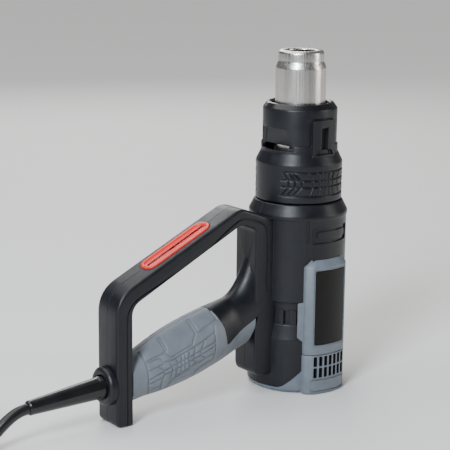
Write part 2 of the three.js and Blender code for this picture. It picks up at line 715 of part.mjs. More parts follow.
const coilWire = 0.6;
const coilRadius = sleeveInner - 0.4 - coilWire;
const coilTurns = 8;
const coilSteps = 10;             // per turn
const plateReach = coilRadius * Math.cos(Math.PI / coilSteps) - coilWire - 0.4;
const plateHalfThickness = 0.8;
addPiece('element_support', toGeometry(join(
  solid(block(-plateReach, plateReach, -plateHalfThickness, plateHalfThickness, heaterBottom + 4, supportTop)),
  solid(block(-plateHalfThickness, plateHalfThickness, -plateReach, plateReach, heaterBottom + 4, supportTop)),
)), finishes.ceramic);

const coilPoints = [];
for (let i = 0; i <= coilTurns * coilSteps; i++) {
  const angle = (2 * Math.PI * i) / coilSteps;
  const height = heaterBottom + 8 + ((heaterTop - heaterBottom - 14) * i) / (coilTurns * coilSteps);
  coilPoints.push(vec(coilRadius * Math.cos(angle), coilRadius * Math.sin(angle), height));
}
addPiece('heating_coil', tube(coilPoints, coilWire, 4, coilTurns * coilSteps), finishes.heatingWire);

function elementBoard() {
  const plate = solid(disc(sleeveInner - gap, heaterBottom + 1.6, heaterBottom + 3.4));
  const windows = [0, 1, 2, 3].map((i) => {
    const angle = (Math.PI / 2) * (i + 0.5);
    return solid(disc(4.2, heaterBottom, heaterBottom + 5, smallRound)
      .translate(9.5 * Math.cos(angle), 9.5 * Math.sin(angle), 0));
  });
  return cut(plate, ...windows);
}

addPiece('element_board', toGeometry(elementBoard()), finishes.mica);
addPiece('thermal_cutout', block(-4, 4, -2.5, 2.5, heaterBottom - 3.4, heaterBottom + 1.3), finishes.steel);

// ---- air path, motor and fan ------------------------------------------------------------------------

const ductWall = 1.4;
const ductRadius = boreRadius - 3.6;
const ductEndRadius = nozzleRadius + 0.6;
const ductTop = nozzleFoot - gap;
addPiece('air_duct', lathe([
  [ductRadius, fanTop + 1], [ductRadius + ductWall, fanTop + 1], [ductRadius + ductWall, fanTop + 2.2],
  [ductEndRadius + ductWall, ductTop - 2], [ductEndRadius + ductWall, ductTop], [ductEndRadius, ductTop],
  [ductEndRadius, ductTop - 2], [ductRadius, fanTop + 2.2],
]), finishes.blackPlastic);

const shaftBore = shaftRadius + gap;
addPiece('motor_can', ring(shaftBore, motorRadius, motorBottom, motorTop), finishes.zinc);
addPiece('motor_end_bell', ring(shaftBore, motorRadius - 1.5, motorBottom - 5, motorBottom - gap), finishes.whitePlastic);
addPiece('motor_bush', ring(shaftBore, 5, motorTop + gap, motorTop + 4, smallRound), finishes.brass);
addPiece('motor_shaft', disc(shaftRadius, motorBottom - 8, fanTop + 1, smallRound), finishes.steel);

const mountPlate = waistTop + 3.4; // rests on the shells' step above the waist

function motorMount() {
  const cupRadius = motorRadius + 2;
  const rimRadius = boreRadius - gap;
  const holeRadius = (rimRadius - cupRadius) / 2 - 2.4;
  const holeMiddle = (rimRadius + cupRadius) / 2;
  const cup = solid(ring(motorRadius + gap, cupRadius, motorTop - 12, mountPlate + 2.4));
  const plate = solid(ring(5 + gap, rimRadius, mountPlate, mountPlate + 2.4, bigRound));
  const openings = [0, 1, 2, 3, 4, 5].map((i) => {
    const angle = (Math.PI / 3) * i;
    return solid(disc(holeRadius, 0, 100, smallRound)
      .translate(holeMiddle * Math.cos(angle), holeMiddle * Math.sin(angle), 0));
  });
  return cut(join(cup, plate), ...openings);
}

addPiece('motor_mount', toGeometry(motorMount()), finishes.blackPlastic);

const fanHub = 7;
const fanBlades = 8;

function fanImpeller() {
  const bladeHeight = fanTop - fanBottom;
  let fan = join(solid(disc(fanHub, fanBottom, fanTop)), solid(disc(fanRadius, fanBottom, fanBottom + 1.6)));
  for (let i = 0; i < fanBlades; i++) {
    const blade = new THREE.BoxGeometry(fanRadius - fanHub + 1, 1.4, bladeHeight - 2);
    blade.rotateZ(0.5);
    blade.translate((fanRadius + fanHub) / 2 - 1, 2.5, fanBottom + bladeHeight / 2);
    blade.rotateZ((2 * Math.PI * i) / fanBlades);
    fan = fan.add(solid(blade).intersect(solid(disc(fanRadius, fanBottom, fanTop))));
  }
  return fan.subtract(solid(disc(shaftBore, fanBottom - 1, fanTop + 1, smallRound)));
}

addPiece('fan_impeller', toGeometry(fanImpeller()), finishes.whitePlastic);

addPiece('rectifier_board', block(
  rootInner + wall + 0.8, rootInner + rootDepth - 0.4, 3.4, 5, 62, shoulderHeight - 39,
), finishes.circuitGreen);

// ---- cord entry: collar, boot, clamp and the cord's inner end ------------------------------------------

const collarOut = 5.4;           // how far the cord collar stands out of the leg
const bootFoot = legOuter - gap;
addPiece('cord_collar', new THREE.LatheGeometry([
  [bootRootRadius + gap, 0], [14, 0], [14, collarOut - 2.2], [12, collarOut], [bootRootRadius + gap, collarOut],
  [bootRootRadius + gap, 0],
].map(([r, z]) => new THREE.Vector2(r, z)), midRound).rotateZ(Math.PI / 2)
  .translate(bootFoot, 0, cordHeight), finishes.blackPlastic);

// The boot is drawn upright and laid along the line from the leg to its tip.
const bootLean = Math.atan2(cordHeight - bootEndHeight, bootLength);
const boot = lathe([
  [0, 0.6], [bootRootRadius, 0.6], [bootRootRadius, 8], [bootTipRadius, bootLength], [0, bootLength],
], 20);
boot.rotateY(-Math.PI / 2 - bootLean);
boot.translate(bootFoot, 0, cordHeight);
addPiece('cord_boot', boot, finishes.blackRubber);

const innerCordRadius = cordDiameter / 2 - 0.1;
addPiece('inner_cord', tube([
  vec(legOuter + 0.4, 0, cordHeight), vec(legOuter + 12, 0, cordHeight), vec(legInner + 6, 0, cordHeight + 2.2),
  vec(legInner + 30, 0, cordHeight + 8.6),
], innerCordRadius, 8, 8), finishes.cordSheath);

const clampHalfWidth = handleHalfWidth - wall - 1.4;
const clampBore = innerCordRadius + 0.4;
addPiece('cord_clamp', toGeometry(
  solid(block(legMiddle - 3, legMiddle + 3, -clampHalfWidth, clampHalfWidth, cordHeight - 8, cordHeight + 8))
    .subtract(solid(new THREE.CylinderGeometry(clampBore, clampBore, 20, midRound).rotateZ(Math.PI / 2)
      .translate(legMiddle, 0, cordHeight)))
    .subtract(solid(block(legMiddle - 5, legMiddle + 5, -3, 3, cordHeight - 12, cordHeight - 3))),
), finishes.blackPlastic);

// Inner wires run past the switch to the board in the handle root.
for (const [name, side, material] of [['wire_brown', -1, finishes.wireBrown], ['wire_blue', 1, finishes.wireBlue]]) {
  addPiece(name, tube([
    vec(legInner + 31.5, 2 * side, cordHeight + 9), vec(legInner + 46, 4 * side, cordHeight + 17),
    vec(rootInner - 42.5, 4 * side, 53.5), vec(rootInner - 27.5, 4 * side, 60),
    vec(rootInner - 14.5, 4 * side, 64.3), vec(rootInner - 2.5, 3 * side - 1, 67),
    vec(rootInner + 7.5, 1.6 * side - 1.2, 78),
  ], 1, 5, 12), material);
}

// ---- mains cord: from the boot down to the bench, a coil, and the tail to the plug -----------------------

const cordRadius = cordDiameter / 2;
const bootTip = bootFoot - bootLength;
const cordRoute = [
  [-1.2, 25.5], [-7.2, 24.4], [-13.2, 21.7], [-19, 17.6], [-24.6, 13], [-30, 9], [-35, 6.3],
  [-37, 5.5],
].map(([x, z]) => vec(bootTip + x, 0, z));
addPiece('cord', tube(cordRoute, cordRadius, 8, 14), finishes.cordSheath);

const coilPitch = cordDiameter + coilSpare;
const coilInner = coilTurnRadius - coilPitch - cordRadius;
const coilOuter = coilTurnRadius + coilPitch + cordRadius;
const coilSideways = coilTurnRadius + coilPitch;
const cordEnd = cordRoute[cordRoute.length - 1].x;
const coilCentre = vec(
  cordEnd - Math.sqrt(coilOuter ** 2 - (coilSideways - cordRadius) ** 2), coilSideways, 0,
);
const coilTop = coilFloor + 2 * coilPitch;
addPiece('cord_coil', ring(coilInner, coilOuter, coilFloor, coilTop, 40)
  .translate(coilCentre.x, coilCentre.y, 0), finishes.cordSheath);

// The tail leaves the top of the coil, runs round on it and turns into the plug.
const tailHeight = coilTop + gap + cordRadius;
const tailRoute = [
  [-21, 35.8, 0], [-8, 41.8, 0], [6, 42.3, 0], [19, 37.8, 0], [30, 29.3, 0], [38, 17.8, 0.3], [42, 4.3, 0.8],
  [41.5, -9.7, 1.6], [37, -21.2, 2.6], [30.5, -29.4, 3.4], [24, -32.8, 3.8], [18.4, -33.3, 3.8],
].map(([x, y, z]) => vec(coilCentre.x + x, coilCentre.y + y, tailHeight + z));
addPiece('cord_tail', tube(tailRoute, cordRadius, 8, 24), finishes.cordSheath);

const plugGroup = new THREE.Group();
plugGroup.position.set(coilCentre.x + 18 - gap, coilCentre.y - 33.3, coilTop + gap);
gun.add(plugGroup);

// Plug lying on its back on the coil: local -X is away from the cord, pins point up.
const plug = { length: 48, width: 47, height: 19, neck: 14 };
const plugBody = join(
  solid(upZ(outline([
    [-plug.neck - plug.length, -plug.width / 2 + 4, 5], [-plug.neck, -plug.width / 2, 7],
    [-plug.neck, plug.width / 2, 7], [-plug.neck - plug.length, plug.width / 2 - 4, 5],
  ]), 0, plug.height)),
  solid(new THREE.CylinderGeometry(7, 5.6, plug.neck + 2, 16).rotateZ(Math.PI / 2)
    .translate(-plug.neck / 2 - 1, 0, tailHeight + 3.8 - coilTop - gap)),
);
addPiece('plug_body', toGeometry(plugBody), finishes.blackRubber, plugGroup);
const plugPins = [
  ['plug_pin_line', -plug.neck - 13, -11, 6.3, 4, 17.7],
  ['plug_pin_neutral', -plug.neck - 13, 11, 6.3, 4, 17.7],
  ['plug_pin_earth', -plug.neck - 35, 0, 4, 8, 22.7],
];
for (const [name, x, y, across, along, length] of plugPins) {
  addPiece(name, block(
    x - along / 2, x + along / 2, y - across / 2, y + across / 2, plug.height + gap, plug.height + length,
  ), finishes.brass, plugGroup);
}

// A strap round the coil's bundle keeps it together.
const tie = { width: 12, thickness: 0.8, inside: coilInner - gap - 0.9 };
const tieBody = solid(block(
  tie.inside - tie.thickness, coilOuter + gap + tie.thickness, -tie.width / 2, tie.width / 2,
  coilFloor - gap - tie.thickness, coilTop + gap + tie.thickness,
)).subtract(solid(block(
  tie.inside, coilOuter + gap, -tie.width, tie.width, coilFloor - gap, coilTop + gap,
)));
const tiePiece = addPiece('cord_tie', toGeometry(tieBody), finishes.blackRubber);
tiePiece.rotation.z = Math.PI;
tiePiece.position.set(coilCentre.x, coilCentre.y, 0);

export default gun;
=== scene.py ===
import math
import bpy
import bmesh
import numpy as np
from mathutils import Matrix, Vector


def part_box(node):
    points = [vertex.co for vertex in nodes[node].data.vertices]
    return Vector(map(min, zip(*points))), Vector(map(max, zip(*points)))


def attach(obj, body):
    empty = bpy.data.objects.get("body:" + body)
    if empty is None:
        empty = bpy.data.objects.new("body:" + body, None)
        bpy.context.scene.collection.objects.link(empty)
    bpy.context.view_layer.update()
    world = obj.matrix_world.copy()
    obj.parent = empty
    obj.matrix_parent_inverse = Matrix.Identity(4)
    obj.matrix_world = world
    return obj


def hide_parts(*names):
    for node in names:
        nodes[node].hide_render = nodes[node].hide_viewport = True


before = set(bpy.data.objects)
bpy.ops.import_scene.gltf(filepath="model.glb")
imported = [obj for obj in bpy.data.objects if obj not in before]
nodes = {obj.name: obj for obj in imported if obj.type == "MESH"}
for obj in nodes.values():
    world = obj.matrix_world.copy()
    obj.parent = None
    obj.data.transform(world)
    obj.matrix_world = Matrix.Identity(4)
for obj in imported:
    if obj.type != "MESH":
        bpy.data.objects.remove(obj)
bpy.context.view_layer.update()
scene = bpy.context.scene
mm = 0.001
print("frame loaded")

cameraPlace = {
    "location": (-0.6728, -0.7904, 0.3598),
    "look": (0.5914, 0.7746, -0.2241),
    "right": (0.7962, -0.6049, 0.0102),
    "lens": 112,
}


def makeCamera(place):
    look = Vector(place["look"]).normalized()
    right = Vector(place["right"])
    right = (right - look * right.dot(look)).normalized()
    up = right.cross(look)
    data = bpy.data.cameras.new("camera")
    data.lens = place["lens"]
    data.sensor_width = 36
    data.clip_start = 0.02
    data.clip_end = 50
    camera = bpy.data.objects.new("camera", data)
    turn = Matrix((right, up, -look)).transposed().to_4x4()
    camera.matrix_world = Matrix.Translation(place["location"]) @ turn
    scene.collection.objects.link(camera)
    scene.camera = camera


makeCamera(cameraPlace)


def newGroup(name, inputs, outputs):
    group = bpy.data.node_groups.new(name, "ShaderNodeTree")
    for label, value in inputs.items():
        socket = group.interface.new_socket(label, in_out="INPUT", socket_type="NodeSocketFloat")
        socket.default_value = value
    for label in outputs:
        group.interface.new_socket(label, in_out="OUTPUT", socket_type="NodeSocketFloat")
    return group, group.nodes.new("NodeGroupInput"), group.nodes.new("NodeGroupOutput")


def feed(tree, value, socket):
    # a number or a colour is set on the socket, anything else is linked to it
    if isinstance(value, (int, float, tuple)):
        socket.default_value = value
    else:
        tree.links.new(value, socket)


def mathNode(tree, operation, first, second, clamp=False):
    node = tree.nodes.new("ShaderNodeMath")
    node.operation = operation
    node.use_clamp = clamp
    feed(tree, first, node.inputs[0])
    feed(tree, second, node.inputs[1])
    return node.outputs[0]


def noiseNode(tree, scaleValue, detail, vector):
    node = tree.nodes.new("ShaderNodeTexNoise")
    node.inputs["Detail"].default_value = detail
    feed(tree, scaleValue, node.inputs["Scale"])
    tree.links.new(vector, node.inputs["Vector"])
    return node.outputs["Fac"]


def rangeNode(tree, value, low, high, outLow=0.0, outHigh=1.0):
    node = tree.nodes.new("ShaderNodeMapRange")
    for label, number in (("From Min", low), ("From Max", high), ("To Min", outLow), ("To Max", outHigh)):
        node.inputs[label].default_value = number
    tree.links.new(value, node.inputs["Value"])
    return node.outputs["Result"]


def bumpNode(tree, height, strength, distance):
    node = tree.nodes.new("ShaderNodeBump")
    node.inputs["Strength"].default_value = strength
    node.inputs["Distance"].default_value = distance
    tree.links.new(height, node.inputs["Height"])
    return node


def objectPlace(tree, stretch=(1, 1, 1)):
    coords = tree.nodes.new("ShaderNodeTexCoord")
    mapping = tree.nodes.new("ShaderNodeMapping")
    mapping.inputs["Scale"].default_value = stretch
    tree.links.new(coords.outputs["Object"], mapping.inputs["Vector"])
    return mapping.outputs["Vector"]


def buildMouldGrain():
    group, start, end = newGroup("mouldGrain", {"Scale": 1800.0, "Pits": 0.35}, ("Height", "Tone"))
    place = objectPlace(group)
    fine = noiseNode(group, start.outputs["Scale"], 4, place)
    coarseScale = mathNode(group, "MULTIPLY", start.outputs["Scale"], 0.07)
    coarse = noiseNode(group, coarseScale, 3, place)
    cell = group.nodes.new("ShaderNodeTexVoronoi")
    cell.inputs["Randomness"].default_value = 1
    group.links.new(start.outputs["Scale"], cell.inputs["Scale"])
    group.links.new(place, cell.inputs["Vector"])
    pit = rangeNode(group, cell.outputs["Distance"], 0.0, 0.35)
    pits = mathNode(group, "MULTIPLY", pit, start.outputs["Pits"])
    height = mathNode(group, "ADD", fine, pits)
    group.links.new(height, end.inputs["Height"])
    group.links.new(coarse, end.inputs["Tone"])
    return group


def buildEdgeWear():
    group, start, end = newGroup("edgeWear", {"Radius": 0.0007, "Amount": 0.6, "Breakup": 260.0}, ("Mask",))
    bevel = group.nodes.new("ShaderNodeBevel")
    bevel.samples = 4
    group.links.new(start.outputs["Radius"], bevel.inputs["Radius"])
    flat = group.nodes.new("ShaderNodeNewGeometry")
    dot = group.nodes.new("ShaderNodeVectorMath")
    dot.operation = "DOT_PRODUCT"
    group.links.new(bevel.outputs["Normal"], dot.inputs[0])
    group.links.new(flat.outputs["Normal"], dot.inputs[1])
    edge = rangeNode(group, dot.outputs["Value"], 0.995, 0.86)
    worn = rangeNode(group, noiseNode(group, start.outputs["Breakup"], 4, objectPlace(group)), 0.38, 0.66)
    mask = mathNode(group, "MULTIPLY", mathNode(group, "MULTIPLY", edge, worn), start.outputs["Amount"], True)
    group.links.new(mask, end.inputs["Mask"])
    return group


def buildDust():
    group, start, end = newGroup("settledDust", {"Amount": 0.12, "Scale": 140.0}, ("Mask",))
    shape = group.nodes.new("ShaderNodeNewGeometry")
    parts = group.nodes.new("ShaderNodeSeparateXYZ")
    group.links.new(shape.outputs["Normal"], parts.inputs[0])
    up = rangeNode(group, parts.outputs["Z"], 0.25, 1.0)
    cloud = rangeNode(group, noiseNode(group, start.outputs["Scale"], 5, objectPlace(group)), 0.42, 0.7)
    mask = mathNode(group, "MULTIPLY", mathNode(group, "MULTIPLY", up, cloud), start.outputs["Amount"], True)
    group.links.new(mask, end.inputs["Mask"])
    return group


def buildStreaks():
    group, start, end = newGroup("drawnStreaks", {"Fine": 900.0, "Broad": 130.0}, ("Streak", "Broad"))
    place = objectPlace(group, (1, 1, 0.018))
    fine = noiseNode(group, start.outputs["Fine"], 3, place)
    broad = noiseNode(group, start.outputs["Broad"], 2, place)
    group.links.new(fine, end.inputs["Streak"])
    group.links.new(broad, end.inputs["Broad"])
    return group


groups = {
    "grain": buildMouldGrain(),
    "wear": buildEdgeWear(),
    "dust": buildDust(),
    "streaks": buildStreaks(),
}


def useGroup(tree, key, **values):
    node = tree.nodes.new("ShaderNodeGroup")
    node.node_tree = groups[key]
    for label, value in values.items():
        node.inputs[label].default_value = value
    return node


def mixColour(tree, factor, first, second):
    node = tree.nodes.new("ShaderNodeMix")
    node.data_type = "RGBA"
    feed(tree, factor, node.inputs[0])
    feed(tree, first, node.inputs[6])
    feed(tree, second, node.inputs[7])
    return node.outputs[2]


def rgb(*parts):
    return tuple(parts) + (1.0,)


materials = {}


def newMaterial(name):
    material = bpy.data.materials.new(name)
    material.use_nodes = True
    materials[name] = material
    return material.node_tree, material.node_tree.nodes["Principled BSDF"]


def mouldedPlastic(name, dark, light, worn, grainScale, rough, bump=0.25, wear=0.5, dust=0.1,
                   bevelRadius=0.0005, specular=0.5, coat=0.0, coatRough=0.1, pits=0.35, sheen=0.0):
    tree, shader = newMaterial(name)
    grain = useGroup(tree, "grain", Scale=grainScale, Pits=pits)
    wearMask = useGroup(tree, "wear", Radius=0.0006, Amount=wear).outputs["Mask"]
    dustMask = useGroup(tree, "dust", Amount=dust).outputs["Mask"]
    tone = rangeNode(tree, grain.outputs["Tone"], 0.3, 0.7)
    base = mixColour(tree, tone, rgb(*dark), rgb(*light))
    base = mixColour(tree, wearMask, base, rgb(*worn))
    base = mixColour(tree, dustMask, base, rgb(0.42, 0.41, 0.39))
    tree.links.new(base, shader.inputs["Base Color"])
    roughness = rangeNode(tree, grain.outputs["Tone"], 0.25, 0.75, rough - 0.05, rough + 0.06)
    roughness = mathNode(tree, "ADD", roughness, mathNode(tree, "MULTIPLY", dustMask, 0.3), True)
    tree.links.new(roughness, shader.inputs["Roughness"])
    bevel = tree.nodes.new("ShaderNodeBevel")
    bevel.samples = 4
    bevel.inputs["Radius"].default_value = bevelRadius
    relief = bumpNode(tree, grain.outputs["Height"], bump, 0.0002)
    tree.links.new(bevel.outputs["Normal"], relief.inputs["Normal"])
    tree.links.new(relief.outputs["Normal"], shader.inputs["Normal"])
    shader.inputs["Specular IOR Level"].default_value = specular
    shader.inputs["Coat Weight"].default_value = coat
    shader.inputs["Coat Roughness"].default_value = coatRough
    shader.inputs["Sheen Weight"].default_value = sheen
    shader.inputs["Sheen Roughness"].default_value = 0.4


def brushedMetal(name, dark, light, worn, rough, bump=0.12, anisotropy=0.3, fine=900.0):
    tree, shader = newMaterial(name)
    streaks = useGroup(tree, "streaks", Fine=fine, Broad=130.0)
    wear = useGroup(tree, "wear", Radius=0.0004, Amount=0.5)
    broad = rangeNode(tree, streaks.outputs["Broad"], 0.3, 0.7)
    base = mixColour(tree, broad, rgb(*dark), rgb(*light))
    base = mixColour(tree, wear.outputs["Mask"], base, rgb(*worn))
    tree.links.new(base, shader.inputs["Base Color"])
    roughness = rangeNode(tree, streaks.outputs["Streak"], 0.3, 0.7, rough - 0.07, rough + 0.09)
    tree.links.new(roughness, shader.inputs["Roughness"])
    shader.inputs["Metallic"].default_value = 1.0
    shader.inputs["Anisotropic"].default_value = anisotropy
    relief = bumpNode(tree, streaks.outputs["Streak"], bump, 0.0001)
    tree.links.new(relief.outputs["Normal"], shader.inputs["Normal"])


# each row: dark, light and worn colour, scale of the grain, roughness, then what differs from usual
plastics = {
    "satinBlack": ((0.0042, 0.0047, 0.0075), (0.0064, 0.0071, 0.0108), (0.022, 0.025, 0.034), 2100, 0.37, {
        "bump": 0.30, "dust": 0.012, "bevelRadius": 0.0006, "specular": 0.36,
    }),
    "deepBlack": ((0.0035, 0.0035, 0.0045), (0.006, 0.006, 0.008), (0.02, 0.02, 0.024), 1800, 0.6, {
        "wear": 0.2, "dust": 0.04,
    }),
    "greyPanel": ((0.115, 0.135, 0.160), (0.142, 0.166, 0.194), (0.24, 0.27, 0.30), 2100, 0.42, {
        "dust": 0.05,
    }),
    "greyGrip": ((0.122, 0.140, 0.162), (0.152, 0.172, 0.196), (0.21, 0.24, 0.27), 1500, 0.54, {
        "bump": 0.35, "wear": 0.3, "dust": 0.03, "pits": 0.5, "sheen": 0.15,
    }),
    "redInlay": ((0.66, 0.012, 0.006), (0.78, 0.019, 0.010), (0.90, 0.06, 0.035), 1500, 0.36, {
        "bump": 0.10, "wear": 0.15, "dust": 0.0, "coat": 0.1, "coatRough": 0.2, "specular": 0.35,
    }),
    "glossBlack": ((0.0045, 0.0045, 0.0050), (0.0075, 0.0075, 0.0085), (0.03, 0.03, 0.033), 900, 0.24, {
        "bump": 0.05, "wear": 0.15, "dust": 0.0,
    }),
    "cordSheath": ((0.0045, 0.0045, 0.0052), (0.0070, 0.0070, 0.0080), (0.02, 0.02, 0.022), 700, 0.32, {
        "bump": 0.10, "wear": 0.1, "dust": 0.01,
    }),
    "darkLabel": ((0.0035, 0.0031, 0.0029), (0.0055, 0.0049, 0.0046), (0.03, 0.03, 0.03), 600, 0.38, {
        "bump": 0.05, "wear": 0.2, "dust": 0.008, "specular": 0.22,
    }),
    "whiteNylon": ((0.62, 0.61, 0.56), (0.72, 0.71, 0.66), (0.8, 0.8, 0.78), 1500, 0.5, {}),
    "micaSheet": ((0.38, 0.27, 0.15), (0.54, 0.42, 0.26), (0.68, 0.6, 0.46), 420, 0.5, {
        "bump": 0.5, "pits": 0.8,
    }),
    "firedCeramic": ((0.62, 0.58, 0.49), (0.78, 0.75, 0.66), (0.5, 0.43, 0.34), 900, 0.7, {
        "bump": 0.45, "wear": 0.6,
    }),
    "circuitBoard": ((0.010, 0.085, 0.035), (0.016, 0.125, 0.055), (0.25, 0.23, 0.12), 700, 0.4, {
        "coat": 0.3,
    }),
    "wireBrown": ((0.11, 0.045, 0.018), (0.15, 0.062, 0.026), (0.22, 0.12, 0.07), 900, 0.45, {}),
    "wireBlue": ((0.018, 0.09, 0.33), (0.026, 0.125, 0.42), (0.12, 0.24, 0.5), 900, 0.45, {}),
}
# the same without a grain
metals = {
    "stainless": ((0.52, 0.50, 0.47), (0.80, 0.785, 0.755), (0.92, 0.91, 0.89), 0.27, {
        "bump": 0.16, "anisotropy": 0.4,
    }),
    "steel": ((0.42, 0.43, 0.44), (0.60, 0.61, 0.62), (0.75, 0.75, 0.76), 0.34, {}),
    "zincPlate": ((0.46, 0.48, 0.50), (0.66, 0.68, 0.69), (0.8, 0.82, 0.83), 0.36, {"fine": 1500.0}),
    "resistanceWire": ((0.10, 0.085, 0.075), (0.22, 0.19, 0.17), (0.4, 0.38, 0.35), 0.5, {}),
    "brass": ((0.50, 0.34, 0.12), (0.68, 0.49, 0.20), (0.85, 0.7, 0.4), 0.28, {}),
}
for name, (*look, special) in plastics.items():
    mouldedPlastic(name, *look, **special)
for name, (*look, special) in metals.items():
    brushedMetal(name, *look, **special)
print("materials ready")


# the shapes below are given in millimetres
def meshPiece(name, points, faces, sharp=30):
    mesh = bpy.data.meshes.new(name)
    mesh.from_pydata([(p[0] * mm, p[1] * mm, p[2] * mm) for p in points], [], faces)
    work = bmesh.new()
    work.from_mesh(mesh)
    bmesh.ops.remove_doubles(work, verts=work.verts, dist=1e-7)
    bmesh.ops.recalc_face_normals(work, faces=work.faces)
    work.to_mesh(mesh)
    work.free()
    piece = bpy.data.objects.new(name, mesh)
    scene.collection.objects.link(piece)
    shade(piece, sharp)
    return piece


def shade(piece, sharp=30):
    mesh = piece.data
    mesh.shade_smooth()
    mesh.set_sharp_from_angle(angle=math.radians(sharp))


def loft(name, rings, closed=False, sharp=30):
    points = [p for ring in rings for p in ring]
    width = len(rings[0])
    faces = []
    count = len(rings)
    for r in range(count if closed else count - 1):
        for i in range(width):
            a = r * width + i
            b = r * width + (i + 1) % width
            c = ((r + 1) % count) * width + (i + 1) % width
            d = ((r + 1) % count) * width + i
            faces.append((a, b, c, d))
    if not closed:
        faces.append(tuple(range(width)))
        faces.append(tuple((count - 1) * width + i for i in range(width)))
    return meshPiece(name, points, faces, sharp)


def turned(name, profile, steps=128, sharp=30):
    points = []
    rows = []
    for radius, height in profile:
        if radius <= 1e-6:
            rows.append([len(points)])
            points.append((0, 0, height))
        else:
            rows.append(list(range(len(points), len(points) + steps)))
            for i in range(steps):
                angle = 2 * math.pi * i / steps
                points.append((radius * math.cos(angle), radius * math.sin(angle), height))
    faces = []
    for k in range(len(rows)):
        low, high = rows[k], rows[(k + 1) % len(rows)]
        if len(low) == 1 and len(high) == 1:
            continue
        for i in range(steps):
            j = (i + 1) % steps
            if len(low) == 1:
                faces.append((low[0], high[j], high[i]))
            elif len(high) == 1:
                faces.append((low[i], low[j], high[0]))
            else:
                faces.append((low[i], low[j], high[j], high[i]))
    return meshPiece(name, points, faces, sharp)


def insetCorners(corners, amount):
    moved = []
    count = len(corners)
    for i, corner in enumerate(corners):
        x, y = corner[0], corner[1]
        radius = corner[2] if len(corner) > 2 else 0
        before = corners[i - 1]
        after = corners[(i + 1) % count]
        a = Vector((x - before[0], y - before[1])).normalized()
        b = Vector((after[0] - x, after[1] - y)).normalized()
        normalA = Vector((-a.y, a.x))
        normalB = Vector((-b.y, b.x))
        shift = (normalA + normalB) * (amount / (1 + normalA.dot(normalB)))
        turn = a.x * b.y - a.y * b.x
        if radius > 0:
            radius = max(0.2, radius - amount * 0.6 if turn > 0 else radius + amount * 0.6)
        moved.append((x + shift.x, y + shift.y, radius))
    return moved


def roundCorners(corners, steps=8):
    points = []
    count = len(corners)
    for i, corner in enumerate(corners):
        x, y = corner[0], corner[1]
        radius = corner[2] if len(corner) > 2 else 0
        here = Vector((x, y))
        if radius <= 0:
            points.append((x, y))
            continue
        toBefore = (Vector(corners[i - 1][:2]) - here).normalized()
        toAfter = (Vector(corners[(i + 1) % count][:2]) - here).normalized()
        half = math.acos(max(-1, min(1, toBefore.dot(toAfter)))) / 2
        reach = radius / math.tan(half)
        start = here + toBefore * reach
        end = here + toAfter * reach
        for k in range(steps + 1):
            t = k / steps
            p = start * (1 - t) ** 2 + here * 2 * t * (1 - t) + end * t * t
            points.append((p.x, p.y))
    return points


def sideLoft(name, corners, rows, steps=8):
    # an outline in the XZ plane carried across Y; each row is (inset, y)
    rings = []
    for amount, y in rows:
        outline = roundCorners(insetCorners(corners, amount), steps)
        rings.append([(x, y, z) for x, z in outline])
    return loft(name, rings)


def topLoft(name, corners, rows, steps=8):
    # an outline in the XY plane carried up Z; each row is (inset, z)
    rings = []
    for amount, z in rows:
        outline = roundCorners(insetCorners(corners, amount), steps)
        rings.append([(x, y, z) for x, y in outline])
    return loft(name, rings)


def drum(name, radius, low, high, steps=160):
    return turned(name, [(0, low), (radius, low), (radius, high), (0, high)], steps)


def block(x0, x1, y0, y1, z0, z1):
    ring = [(x0, y0), (x1, y0), (x1, y1), (x0, y1)]
    return loft("block", [[(x, y, z0) for x, y in ring], [(x, y, z1) for x, y in ring]])


def combine(base, tools, operation):
    for tool in tools:
        cutter = base.modifiers.new("cut", "BOOLEAN")
        cutter.operation = operation
        cutter.solver = "MANIFOLD"
        cutter.object = tool
        graph = bpy.context.evaluated_depsgraph_get()
        result = bpy.data.meshes.new_from_object(base.evaluated_get(graph))
        base.modifiers.clear()
        base.data = result
    for tool in tools:
        bpy.data.objects.remove(tool)
    shade(base)
    return base


def minus(base, *tools):
    return combine(base, tools, "DIFFERENCE")


def plus(base, *tools):
    return combine(base, tools, "UNION")


def within(base, *tools):
    return combine(base, tools, "INTERSECT")


def halves(body, name, cut):
    # the halves meet on the middle plane, each short of it by the cut
    left = bpy.data.objects.new(name + "Left", body.data.copy())
    scene.collection.objects.link(left)
    within(left, block(-200, far, -far, -cut, -5, 200))
    right = within(body, block(-200, far, cut, far, -5, 200))
    right.name = name + "Right"
    return left, right


def moved(piece, matrix):
    # bakes a matrix whose shift is in millimetres
    scaled = matrix.copy()
    scaled.translation = matrix.translation * mm
    piece.data.transform(scaled)
    return piece


def standAt(piece, place, degrees, axis):
    return moved(piece, Matrix.Translation(place) @ Matrix.Rotation(math.radians(degrees), 4, axis))


def finishPiece(piece, material, slot, *replaced, body="body"):
    piece.data.materials.clear()
    piece.data.materials.append(materials[material])
    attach(piece, body)
    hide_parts(*replaced)
    return piece


gap = 0.3
wall = 2.6
rootInner = -49.5  # face of the handle root that looks at the leg
legInner = -158
legOuter = -171.5
far = 60  # how far cutters reach past the barrel
cord = {"diameter": 8, "exit": (-171.8, 0, 29), "length": 1.7, "turnRadius": 40, "restHeight": 5.4}

